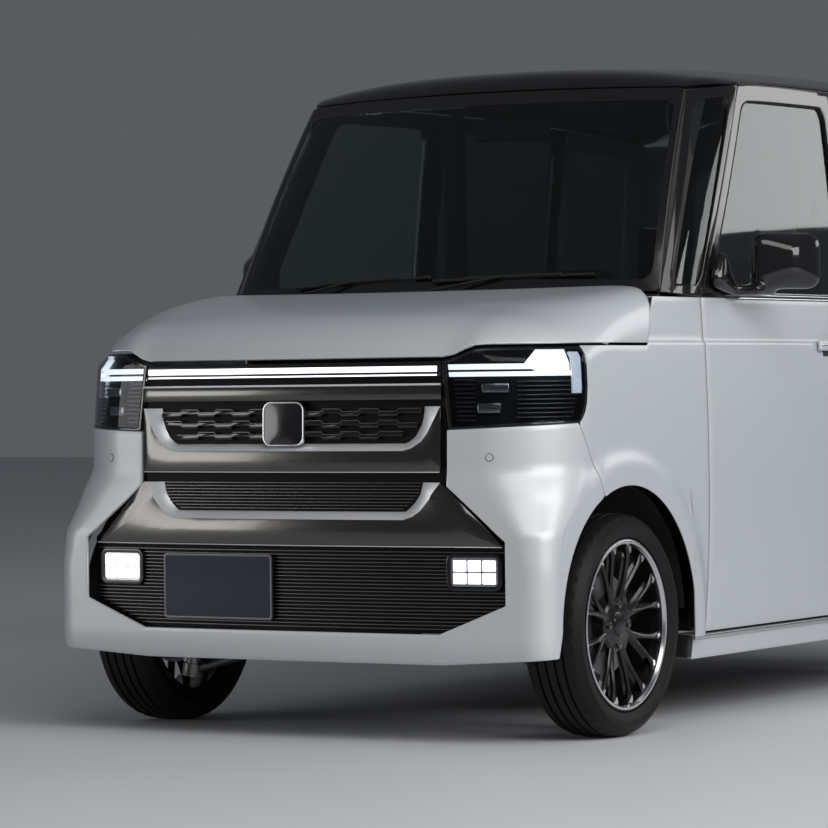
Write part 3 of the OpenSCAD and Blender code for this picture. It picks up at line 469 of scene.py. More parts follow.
def rings(loops, surf, side=1):
    """A band of cells between closed loops of (u, v)."""
    n = len(loops[0])
    return merged(sheet(range(len(loops)), range(n + 1), lambda i, j: surf(*loops[i][j % n]), side), 0.00005)


def between(a, b, n):
    return [[(mix(p[0], q[0], t), mix(p[1], q[1], t)) for p, q in zip(a, b)] for t in steps(0, 1, n)]


def fill_loops(loop, shares=(0, 0.06, 0.2, 0.4, 0.6, 0.8, 1)):
    cu = sum(p[0] for p in loop) / len(loop)
    cv = sum(p[1] for p in loop) / len(loop)
    return [[(mix(p[0], cu, t), mix(p[1], cv, t)) for p in loop] for t in shares]


def lathe(profile, n, centre, side, notch=None):
    """A profile of (radius, x) turned about the wheel's axle."""
    def spot(i, j):
        r, x = profile[i]
        if notch:
            r -= notch(i, j)
        a = 2 * pi * (j % n) / n
        return Vector((centre[0] + side * x, centre[1] + r * cos(a), centre[2] + r * sin(a)))
    return merged(sheet(range(len(profile)), range(n + 1), spot), 0.00005)


def block(x, y, z, edge, segments=3):
    """A box between two corners, with round edges."""
    bpy.ops.mesh.primitive_cube_add(size=1, location=(0, 0, 0))
    obj = bpy.context.object
    for v in obj.data.vertices:
        v.co = [MM * mix(a[0], a[1], c + 0.5) for a, c in zip((x, y, z), v.co)]
    return modify(obj, "BEVEL", width=edge * MM, segments=segments)


def pipe(a, b, r, n=20):
    a, b = Vector(a) * MM, Vector(b) * MM
    bpy.ops.mesh.primitive_cylinder_add(vertices=n, radius=r * MM, depth=(b - a).length)
    obj = bpy.context.object
    turn = Vector((0, 0, 1)).rotation_difference(b - a).to_matrix().to_4x4()
    obj.data.transform(Matrix.Translation((a + b) / 2) @ turn)
    return obj


def node_copy(node, name, voxel, smooth):
    """A copy of a node of the frame, merged, remeshed and smoothed."""
    obj = bpy.data.objects.new(name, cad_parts[node].data.copy())
    bpy.context.scene.collection.objects.link(obj)
    merged(obj)
    modify(obj, "REMESH", mode="VOXEL", voxel_size=voxel)
    return modify(obj, "SMOOTH", factor=0.5, iterations=smooth)


# ---- materials ----
def finish_group():
    """Fine mottling, grain and roughness for one finish, from the object's own coordinates."""
    g = bpy.data.node_groups.new("finish", "ShaderNodeTree")
    for name, kind, value in (("Base", "NodeSocketColor", (0.5, 0.5, 0.5, 1)), ("Vary", "NodeSocketFloat", 0.05),
                              ("Scale", "NodeSocketFloat", 40), ("Rough", "NodeSocketFloat", 0.4),
                              ("Grain", "NodeSocketFloat", 0.1), ("Fine", "NodeSocketFloat", 900)):
        s = g.interface.new_socket(name=name, in_out="INPUT", socket_type=kind)
        s.default_value = value
    for name, kind in (("Color", "NodeSocketColor"), ("Roughness", "NodeSocketFloat"), ("Normal", "NodeSocketVector")):
        g.interface.new_socket(name=name, in_out="OUTPUT", socket_type=kind)
    n, link = g.nodes, g.links.new
    gi, go = n.new("NodeGroupInput"), n.new("NodeGroupOutput")
    co = n.new("ShaderNodeTexCoord")
    slow, fine = n.new("ShaderNodeTexNoise"), n.new("ShaderNodeTexNoise")
    for node, key in ((slow, "Scale"), (fine, "Fine")):
        link(co.outputs["Object"], node.inputs["Vector"])
        link(gi.outputs[key], node.inputs["Scale"])
    hsv = n.new("ShaderNodeHueSaturation")
    spread, rough = n.new("ShaderNodeMath"), n.new("ShaderNodeMath")
    for node in (spread, rough):
        node.operation = "MULTIPLY_ADD"
        link(slow.outputs["Fac"], node.inputs[0])
    link(gi.outputs["Vary"], spread.inputs[1])
    spread.inputs[2].default_value = 1
    link(spread.outputs[0], hsv.inputs["Value"])
    link(gi.outputs["Base"], hsv.inputs["Color"])
    link(hsv.outputs["Color"], go.inputs["Color"])
    rough.inputs[1].default_value = 0.05
    link(gi.outputs["Rough"], rough.inputs[2])
    link(rough.outputs[0], go.inputs["Roughness"])
    bump = n.new("ShaderNodeBump")
    bump.inputs["Distance"].default_value = 0.0006
    link(gi.outputs["Grain"], bump.inputs["Strength"])
    link(fine.outputs["Fac"], bump.inputs["Height"])
    link(bump.outputs["Normal"], go.inputs["Normal"])
    return g


FINISH = finish_group()


def material(name, base, rough, metal, coat, vary, scale, grain, fine, glow=None, glass=None, rim=None, spec=0.5,
             haze=0.04, ior=1.45):
    """A finish: glow adds light, glass lets it through, rim shifts the colour at grazing angles."""
    mat = bpy.data.materials.new(name)
    mat.use_nodes = True
    mat.diffuse_color = (*base, 1)
    n, link = mat.node_tree.nodes, mat.node_tree.links.new
    bsdf = n["Principled BSDF"]
    group = n.new("ShaderNodeGroup")
    group.node_tree = FINISH
    for key, value in (("Base", (*base, 1)), ("Vary", vary), ("Scale", scale), ("Rough", rough), ("Grain", grain),
                       ("Fine", fine)):
        group.inputs[key].default_value = value
    colour = group.outputs["Color"]
    if rim:
        lw, blend = n.new("ShaderNodeLayerWeight"), n.new("ShaderNodeMix")
        lw.inputs["Blend"].default_value = 0.35
        blend.data_type = "RGBA"
        link(lw.outputs["Facing"], blend.inputs["Factor"])
        link(colour, blend.inputs["A"])
        blend.inputs["B"].default_value = (*rim, 1)
        colour = blend.outputs["Result"]
    link(colour, bsdf.inputs["Base Color"])
    link(group.outputs["Roughness"], bsdf.inputs["Roughness"])
    link(group.outputs["Normal"], bsdf.inputs["Normal"])
    for key, value in (("Metallic", metal), ("Specular IOR Level", spec), ("Coat Weight", coat),
                       ("Coat Roughness", haze)):
        bsdf.inputs[key].default_value = value
    if glow:
        link(colour, bsdf.inputs["Emission Color"])
        bsdf.inputs["Emission Strength"].default_value = glow
    if glass:
        bsdf.inputs["Transmission Weight"].default_value = 1
        bsdf.inputs["IOR"].default_value = ior
        path, both = n.new("ShaderNodeLightPath"), n.new("ShaderNodeMixShader")
        clear = n.new("ShaderNodeBsdfTransparent")
        clear.inputs["Color"].default_value = (*glass, 1)
        link(path.outputs["Is Shadow Ray"], both.inputs["Fac"])
        link(bsdf.outputs["BSDF"], both.inputs[1])
        link(clear.outputs["BSDF"], both.inputs[2])
        link(both.outputs["Shader"], n["Material Output"].inputs["Surface"])
    return mat


def clear_finish(name, base, shade, ior=1.45):
    """Glass or a lens; shade is the colour of the light that it lets through."""
    return material(name, base, 0.0, 0, 0, 0.02, 3, 0.0, 5, glass=shade, ior=ior)


# Colour, roughness, metal, coat, mottling and its scale, grain and its scale
M = {
    "paint": material("pearl_paint", (0.56, 0.58, 0.595), 0.42, 0.2, 0.6, 0.05, 900, 0.02, 2500,
                      rim=(0.40, 0.44, 0.48), haze=0.2),
    "tint": clear_finish("tinted_glass", (0.10, 0.12, 0.12), (0.10, 0.12, 0.12)),
    "red_lens": clear_finish("red_lens", (0.55, 0.02, 0.02), (0.5, 0.05, 0.05)),
    "mirror": material("mirror_silver", (0.8, 0.82, 0.83), 0.02, 1, 0, 0.02, 10, 0.0, 5),
    "bevel": material("satin_bright", (0.80, 0.81, 0.82), 0.4, 0.65, 0, 0.06, 80, 0.006, 700),
    "satin": material("satin_dark", (0.12, 0.12, 0.125), 0.32, 0.8, 0, 0.2, 80, 0.1, 800),
    "black_gloss": material("gloss_black", (0.006, 0.006, 0.007), 0.10, 0, 0.4, 0.2, 30, 0.01, 400),
    "black_plastic": material("grained_plastic", (0.014, 0.014, 0.015), 0.5, 0, 0, 0.3, 60, 0.35, 1400, spec=0.3),
    "void": material("shade_black", (0.004, 0.004, 0.005), 0.5, 0, 0, 0.3, 60, 0.2, 900, spec=0.15),
    "structure": material("underbody", (0.020, 0.021, 0.022), 0.6, 0.2, 0, 0.4, 25, 0.3, 300, spec=0.2),
    "glass": clear_finish("window_glass", (0.32, 0.38, 0.38), (0.30, 0.35, 0.35)),
    "dark_chrome": material("smoked_chrome", (0.115, 0.110, 0.103), 0.16, 1, 0.3, 0.08, 60, 0.004, 700),
    "chrome": material("bright_chrome", (0.55, 0.56, 0.57), 0.16, 1, 0, 0.08, 80, 0.006, 700),
    "lamp": material("lamp_white", (0.90, 0.95, 1.0), 0.2, 0, 0, 0.05, 60, 0.05, 500, glow=1.6),
    "lamp_soft": material("lamp_pale", (0.70, 0.76, 0.82), 0.25, 0, 0, 0.1, 60, 0.05, 500, glow=0.4),
    "lens": clear_finish("lamp_lens", (0.50, 0.53, 0.56), (0.6, 0.62, 0.65), 1.22),
    "lamp_red": material("lamp_red", (0.35, 0.008, 0.008), 0.08, 0, 1, 0.2, 60, 0.03, 300),
    "plate": material("plate_blank", (0.009, 0.014, 0.026), 0.3, 0.1, 0.2, 0.15, 50, 0.05, 900, spec=0.3),
    "seat_cloth": material("seat_cloth", (0.045, 0.046, 0.05), 0.85, 0, 0, 0.35, 300, 0.6, 1800),
    "hand_grip": material("leather_grip", (0.018, 0.018, 0.02), 0.45, 0, 0, 0.3, 120, 0.4, 900),
    "metal": material("cast_metal", (0.30, 0.30, 0.31), 0.38, 1, 0, 0.2, 60, 0.25, 500),
    "rim": material("rim_black", (0.005, 0.005, 0.006), 0.2, 0, 0.15, 0.2, 60, 0.02, 500, spec=0.35),
    "machined": material("machined_metal", (0.68, 0.68, 0.69), 0.2, 1, 0.3, 0.1, 90, 0.05, 900),
    "tyre": material("tyre_rubber", (0.006, 0.006, 0.007), 0.5, 0, 0, 0.35, 50, 0.3, 700, spec=0.2),
}
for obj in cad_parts.values():
    for s in obj.material_slots:
        key = s.material.name.split(".")[0] if s.material else ""
        if key in M:
            s.material = M[key]

# ---- outer panels ----
SQUARE = rounded(0, 1, 0, 1, 0.0001, 0.0001)
SIDE_ROWS = [CREASE_Z - 3] + steps(CREASE_Z, CREASE_Z + 16, 5) + steps(CREASE_Z + 30, BELT_Z, 5)
DOOR_ROWS = steps(DOOR_Z, 330, 5) + steps(345, CREASE_Z - 10, 24) + SIDE_ROWS
FENDER_Y, FENDER_SEAM = LAMP_Y + 6, SEAM_Y - 12
FENDER_YS = (steps(FENDER_Y, FENDER_SEAM, 9)[:-1] + round_arch(AXLE_F, 111.4, 68.6, 13) + [HOOD_END + 1]
             + round_arch(AXLE_F, 66, 12, 18) + [AXLE_F + ARCH_R * 0.985]
             + steps(AXLE_F + ARCH_R + 12, DOOR_Y - GAP + 2, 6))
BEHIND_HOOD = [y for y in FENDER_YS if y > HOOD_END]
SCREEN_IN, HOOD_IN, ROOF_IN = Vector((0, 0, 0.9)), Vector((0, -1.0, 0.6)), Vector((0, 0.3, 1.0))
WINDOW_H, SILL_BAR, HEAD_BAR, POST_X = 560, 16, 46, (554, 600)


def fender_foot(y):
    if y > AXLE_F + ARCH_R * 0.98:
        return DOOR_Z - 7.7
    if y < SEAM_Y:
        return mix(SEAM_Z, LAMP_Z + LAMP_FOOT, (SEAM_Y - y) / (SEAM_Y - LAMP_Y)) + 1.5
    return arch_z(y, AXLE_F)


def fender_spot(y, z):
    if y < FENDER_SEAM:
        y = mix(FENDER_Y + lookup(z, LAMP_SWING), FENDER_SEAM, (y - FENDER_Y) / (FENDER_SEAM - FENDER_Y))
    if z > CREASE_Z and y < DOOR_Y - 50:
        y = max(y, hood_side(z))
    return Vector((pt(s_at_y(y, z, NOSE), z, NOSE).x, y, z))


def fender_low(y, t):
    return fender_spot(y, mix(fender_foot(y), CREASE_Z - GAP / 2, t))


def flank(g, z):
    """The bumper beside its opening: g from the opening to the wheel arch."""
    open_top = OPEN_ROWS[-1][0]
    lift = CHIN_LIFT * g * clamp01((CHIN_Z + CHIN_RUN - z) / CHIN_RUN)
    zz = z + lift + LAMP_FOOT * g * clamp01((z - open_top) / (LAMP_Z - open_top))
    return pt(mix(lookup(z, OPEN_ROWS), bumper_end(zz), g), zz, NOSE)


def bumper_half(side):
    """One half of the front bumper: beside the opening, and the strip under it."""
    heights = [CHIN_Z] + [z for z, w in OPEN_ROWS] + [LAMP_Z]
    zs = [CHIN_Z]
    for low, high, n in zip(heights, heights[1:], (8, 8, 12, 14, 10)):
        zs += steps(low, high, n)[1:]
    return [sheet(steps(0, 1, 44), zs, flank, side),
            sheet(steps(0, 1, 24), zs[:9], lambda f, z: pt(f * lookup(z, OPEN_ROWS), z, NOSE), side)]


def door_up(u, v):
    """The front door above the belt, with its raked front edge."""
    z = mix(BELT_Z, rail_at(mix(DOOR_Y + RAKE, DOOR_END, u)), v)
    return side_pt(mix(DOOR_Y + RAKE * (z - BELT_Z) / (HEAD_Z - BELT_Z), DOOR_END, u), z)


def door_hole(grow):
    out = []
    for a, b in rounded(0, 1, 0, 1, 0.06, 0.07):
        v = mix((SILL_BAR - grow) / WINDOW_H, 1 - (HEAD_BAR - grow) / WINDOW_H, b)
        w = DOOR_END - DOOR_Y - RAKE * v
        out.append((mix((SASH - grow) / w, 1 - (SASH - grow) / w, a), v))
    return out


def side_door(part, side, word, body, node, pane_node, pane_key, ys, trim_ys, up, opening, pane_loop):
    """A side door: skin to the belt, trim behind it, the frame round its window and the pane."""
    skin = sheet(ys, DOOR_ROWS, side_pt, side)
    trim = sheet(trim_ys, steps(DOOR_Z + 3, BELT_Z - 4, 10), moved(side_pt, -INSET), side)
    sash = rings(between(SQUARE, opening, 4), up, side)
    pane = rings(fill_loops(pane_loop), moved(up, -INSET), side)
    finish_piece(panel([skin], SKIN, SKIN_EDGE), "%s_panel_%s" % (part, word), "paint", body, [node])
    finish_piece(panel([trim], TRIM, TRIM_EDGE), "%s_trim_%s" % (part, word), "black_plastic", body, [node])
    finish_piece(panel([sash], SASH_DEEP, SASH_EDGE), "%s_sash_%s" % (part, word), "black_gloss", body, [node])
    finish_piece(panel([pane], PANE), "%s_pane_%s" % (part, word), pane_key, body, [pane_node], "glass")


for side, word in SIDES:
    low = sheet(FENDER_YS, closing(22, 1.25), fender_low, side)
    crease = [CREASE_Z - GAP / 2, CREASE_Z + 2, CREASE_Z + 6, CREASE_Z + 10, CREASE_Z + 15]
    high = sheet(BEHIND_HOOD, crease + steps(CREASE_Z + 30, BELT_Z, 6), fender_spot, side)
    ledge = sheet(BEHIND_HOOD, (0, 12, 24), lambda y, d: fender_spot(y, BELT_Z) - Vector((d, 0, 0)), side)
    finish_piece(panel([low, high, ledge], SKIN, SKIN_EDGE), "fender_" + word, "paint", nodes=["front_fenders"])
    if side > 0:
        bumper = bumper_half(side)
    else:
        finish_piece(panel(bumper + bumper_half(side), 9, 3), "bumper_front", "paint", nodes=["front_bumper"])
    side_door("door", side, word, "door_" + word, "front_door_" + word, "door_glass_" + word, "glass",
              steps(DOOR_Y - 1, DOOR_END + 1, 30), steps(DOOR_Y + 3, DOOR_END - 3, 12), door_up,
              door_hole(0), door_hole(6))

    # Pillar beside the windscreen, and the post between the doors
    skin = rings(between(SQUARE, rounded(0.15, 0.85, 0.045, 0.945, 0.16, 0.08), 4), quarter, side)
    finish_piece(panel([skin], 22, 1.5), "pillar_" + word, "black_gloss", nodes=["pillars"])
    post = block(sorted(side * x for x in POST_X), (DOOR_END - 25, DOOR_END + 45), (291, RAIL_Z - 8), 12)
    finish_piece(post, "post_" + word, "black_plastic", nodes=["pillars"])

# Hood, roof and windscreen
across = [1 - (1 - t) ** 2.4 for t in steps(0, 1, 34)]
across = [-u for u in across[:0:-1]] + across
hood = sheet([u * HOOD_HALF for u in across], closing(34, 1.7), hood_pt)
finish_piece(panel([hood], 6, 1.5, HOOD_IN), "hood_skin", "paint", "hood_body", ["hood"])
roof = sheet([u * RAIL_HALF for u in across], closing(48, 1.8), roof_pt)
finish_piece(panel([roof], 8, 1.5, ROOF_IN), "roof_skin", "black_gloss", nodes=["roof_panel"])
clear = rounded(-0.965, 0.965, 0.05, 0.93, 0.05, 0.06)
border = rings(between(rounded(-0.995, 0.995, 0, 1, 0.02, 0.03), clear, 3), screen)
finish_piece(panel([border], 5, 0, SCREEN_IN), "windscreen_border", "black_gloss", nodes=["windscreen"])
pane = rings(fill_loops(clear), screen)
finish_piece(panel([pane], 5, 0, SCREEN_IN), "windscreen_pane", "glass", nodes=["windscreen"])
for side, word in SIDES:
    seal = sheet(steps(0.985, 1.045, 4), steps(0, 1, 24), moved(screen, 0, 7, -5), side)
    finish_piece(panel([seal], 4, 0, SCREEN_IN), "screen_seal_" + word, "black_plastic")
    # a thin satin strip along each side edge of the windscreen: painted highlight line
    line = sheet((0.996, 1.0), steps(0.01, 0.99, 24), moved(screen, 0, -1, 1), side)
    finish_piece(panel([line], 2, 0, SCREEN_IN), "screen_highlight_line_" + word, "satin", slot="dark_chrome")

# ---- headlamps: how deep each part lies behind the lens ----
DEEP_BACK, DEEP_LINE, DEEP_STRIP, DEEP_UNIT, DEEP_FIN = 34, 10, 8, 12, 16
LIT_Z, LIT_TOP = 938, 971
LIT_LINES = ((0.03, 0.60, 30, 925, LIT_Z), (0.03, 0.97, 30, 908, 919), (0.60, 0.86, 12, 919.5, LIT_Z))
UNITS = ((0.24, 0.42, 868, 890), (0.2, 0.36, 818, 842))


def lit_wedge(t, z):
    return lamp_at(DEEP_LINE)(mix(mix(0.53, 0.64, (z - LIT_Z) / (LIT_TOP - LIT_Z)), 0.86, t), z)


for side, word in SIDES:
    vs, fs = steps(0, 1, 16), steps(0, 1, 44)
    front = sheet(fs, vs, lens, side)
    finish_piece(panel([front], 3, 1), "lamp_lens_" + word, "lens", nodes=["headlamps"], slot="lamp")
    back = sheet(fs, vs, lambda f, v: lens(f, v, DEEP_BACK), side)
    finish_piece(panel([back], 4), "lamp_back_" + word, "void", nodes=["headlamps"], slot="black_gloss")
    lines = [sheet(steps(a, b, n), (z0, z1), lamp_at(DEEP_LINE), side) for a, b, n, z0, z1 in LIT_LINES]
    lines.append(sheet(steps(0, 1, 12), (LIT_Z, LIT_TOP), lit_wedge, side))
    soft = sheet(steps(0.875, 0.965, 6), steps(864, 966, 8), lamp_at(DEEP_STRIP), side)
    finish_piece(panel([soft], 6, 1.5), "lamp_strip_" + word, "lamp_soft", nodes=["headlamps"], slot="lamp")
    finish_piece(panel(lines, 8), "lamp_line_" + word, "lamp", nodes=["headlamps"])
    units = [sheet(steps(a, b, 8), (z0, z1), lamp_at(DEEP_UNIT), side) for a, b, z0, z1 in UNITS]
    finish_piece(panel(units, 14, 2), "lamp_unit_" + word, "chrome", nodes=["headlamps"], slot="lamp")

# ---- wheels: profiles of (radius, x), and paired spokes ----
GROOVES, GROOVE = (-38, -13, 13, 38), ((0.5, -4), (7, -3), (7, 3), (0.5, 4))
W = TYRE_W / 2
TYRE_LINE = [
    (RIM_R - 6, -58), (RIM_R + 1, -69), (RIM_R + 12, -W + 8), (RIM_R + 22, -W + 3), (RIM_R + 38, -W),
    (TYRE_R - 20, -W + 7), (TYRE_R - 9, -W + 15), (TYRE_R - 3, -W + 26), (TYRE_R - 0.8, -W + 36),
    *((TYRE_R - d, g + x) for g in GROOVES for d, x in GROOVE),
    (TYRE_R - 0.8, W - 36), (TYRE_R - 3, W - 26), (TYRE_R - 9, W - 15), (TYRE_R - 20, W - 7), (RIM_R + 38, W),
    (RIM_R + 30, W - 0.6), (RIM_R + 28, W - 2.4), (RIM_R + 22, W - 3), (RIM_R + 12, W - 8), (RIM_R + 4, W - 11),
    (RIM_R + 1, 65), (RIM_R - 6, 50)]
BARREL_LINE = [
    (RIM_R - 20, -70), (RIM_R, -75), (RIM_R, -70), (RIM_R - 8, -58), (RIM_R - 8, 50), (RIM_R - 0.5, 66),
    (RIM_R - 0.5, 70), (RIM_R - 5, 71.5), (RIM_R - 10, 70), (RIM_R - 14, 62), (RIM_R - 17, 40), (RIM_R - 19, -50)]
LIP_LINE = [(RIM_R - 4, 71.9), (RIM_R - 6, 72.6), (RIM_R - 11, 71.6), (RIM_R - 14.6, 64)]
HUB_LINE = [(0.01, 54), (20, 54), (27, 52), (29, 48), (34, 46), (64, 45), (70, 40), (70, 10)]
DISC_LINE = [(70, 8), (128, 8), (129, 2), (70, 2)]
SHOULDER_ROWS, NOTCH, SPOKES, NUTS, NUT_RING = (7, 8, 25, 26), 3.5, 16, 4, 50


def spoke_pt(c, side, k, r, w, lift=0.0):
    """Spoke k of the wheel at c: r from the axle, w across from -1 to 1; two spokes share a root."""
    mid = 2 * pi * ((k // 2) * 2 + 1) / SPOKES
    lean = (pi / SPOKES) * (1 if k % 2 else -1)
    t = clamp01((r - 55) / (RIM_R - 70))
    a = mid + lean * t ** 0.8
    half = mix(11, 6.5, ease(t * 2)) + 8 * clamp01((t - 0.82) / 0.18)
    x = 46 + 14 * ease(t) - 5 * abs(w) ** 2 + lift
    p = Vector((r * cos(a) - w * half * sin(a), r * sin(a) + w * half * cos(a)))
    return Vector((c[0] + side * x, c[1] + p.x, c[2] + p.y))


def rim_part(obj, place, part, key, slot="rim", angle=35):
    finish_piece(obj, "rim_%s_%s" % (place, part), key, "wheel_" + place, ["rim_" + place], slot, angle)


def wheel(place, side, y):
    c = (side * HUB_X, y, TYRE_R)
    middle, away = Vector(c) * MM, Vector((c[0] - side * 800, c[1], c[2])) * MM
    tyre = lathe(TYRE_LINE, 120, c, side, lambda i, j: NOTCH if i in SHOULDER_ROWS and j % 3 == 0 else 0)
    finish_piece(face_out(tyre, middle), "tyre_%s_tread" % place, "tyre", "wheel_" + place, ["tyre_" + place], angle=28)
    rim_part(face_out(lathe(BARREL_LINE, 96, c, side), middle), place, "barrel", "rim", angle=30)
    rim_part(face_out(lathe(LIP_LINE, 96, c, side), away), place, "lip", "machined")
    legs, tips, nuts = [], [], []
    for k in range(SPOKES):
        legs.append(sheet(steps(46, RIM_R - 13, 14), (-1, -0.55, 0, 0.55, 1),
                          lambda r, w: spoke_pt(c, side, k, r, w)))
        tips.append(sheet(steps(RIM_R - 33, RIM_R - 13.5, 3), (-0.8, 0, 0.8),
                          lambda r, w: spoke_pt(c, side, k, r, w * 1.15 * (r - RIM_R + 38) / 22, 2.0)))
    rim_part(panel(legs, 20, 0, away), place, "spokes", "rim", angle=40)
    rim_part(panel(tips, 1.2, 0, away), place, "tips", "machined")
    rim_part(face_out(lathe(HUB_LINE, 48, c, side), away), place, "hub", "rim", angle=30)
    for k in range(NUTS):
        a = pi / 2 * (k + 1)
        nut = Vector((c[0], c[1] + NUT_RING * cos(a), c[2] + NUT_RING * sin(a)))
        nuts.append(pipe(nut + Vector((side * 40, 0, 0)), nut + Vector((side * 52, 0, 0)), 9.5, 6))
    rim_part(modify(join(nuts), "BEVEL", width=0.0012, segments=2), place, "nuts", "dark_chrome", "metal")
    disc = face_out(lathe(DISC_LINE, 64, c, side), away)
    finish_piece(disc, "brake_disc_" + place, "metal", "wheel_" + place)


for end, y in (("front", AXLE_F), ("rear", AXLE_R)):
    for side, word in SIDES:
        wheel(end + "_" + word, side, y)

# ---- sliding doors, rear quarters, tailgate ----
LAMP_FOOT_R, LAMP_TOP_R, CORNER_FOOT = 780, 1389, TAIL_GATE_Z - 3
GATE_IN, GATE_IN_UP, STRIP_Z, STRIP_TOP = Vector((0, 0, 1.0)), Vector((0, 0, 1.2)), 930, 975
SILL_RUN, HANDLE_L, HANDLE_OUT, LINER_R = 90, 185, 8, ARCH_R + 5
TAIL_BARS = ((800, 870), (900, 1010), (1040, 1150), (1180, 1290), (1310, 1365))


def rear_side(y, z):
    """Rear quarter: along the side to the start of the corner, which is y None."""
    if y is None:
        return rear_corner(0, z)
    if y > AXLE_R and z > TAIL_GATE_Z:
        y = AXLE_R + (y - AXLE_R) * (plan(z, TAIL).y - 12 - AXLE_R) / (plan(TAIL_GATE_Z, TAIL).y - 12 - AXLE_R)
    return side_pt(y, z)


def rear_corner(t, z):
    c = plan(z, TAIL)
    return pt(mix(c.start + arc_len(c), GATE_HALF + GAP, t), z, TAIL)


def rear_foot(y):
    if y is None:
        return CORNER_FOOT
    return DOOR_Z if y < AXLE_R - ARCH_R else arch_z(y, AXLE_R)


def rear_low(y, r):
    """Rows up to 1 are shares of the height to the crease, the others are heights."""
    return rear_side(y, r if r > 1 else mix(rear_foot(y), CREASE_Z - 10, r))


def rear_up(u, v):
    z = mix(BELT_Z, rail_at(mix(SLIDE_END, REAR_Y - 200, u)) + GAP - 1.5, v)
    return side_pt(mix(SLIDE_END + 1, plan(z, TAIL).y, u), z)


def tail_in(share):
    """The rear corner drawn in towards the car's middle."""
    return lambda t, z: rear_corner(t, z) * (1 - share) + Vector((0, 0, share * z))


def slide_up(u, v):
    y = mix(SLIDE_Y, SLIDE_END - 3, u)
    return side_pt(y, mix(BELT_Z, rail_at(y), v))


def gate(x, z):
    return Vector((x, pt(abs(x), min(z, RAIL_Z), TAIL).y, z))


def gate_up(u, v):
    x = mix(-GATE_HALF, GATE_HALF, u)
    return gate(x, mix(BELT_Z + 20, roof_z(x, REAR_Y - 95), v))


def sill(y, z):
    inner = max(AXLE_F + ARCH_R + SILL_RUN, min(AXLE_R - ARCH_R - SILL_RUN, y))
    return Vector((side_x(inner, z) - 2, y, z))


def side_strip(side, y0, y1, z0, z1, out):
    return sheet(steps(y0, y1, 24), (z0, z1), moved(side_pt, out), side)


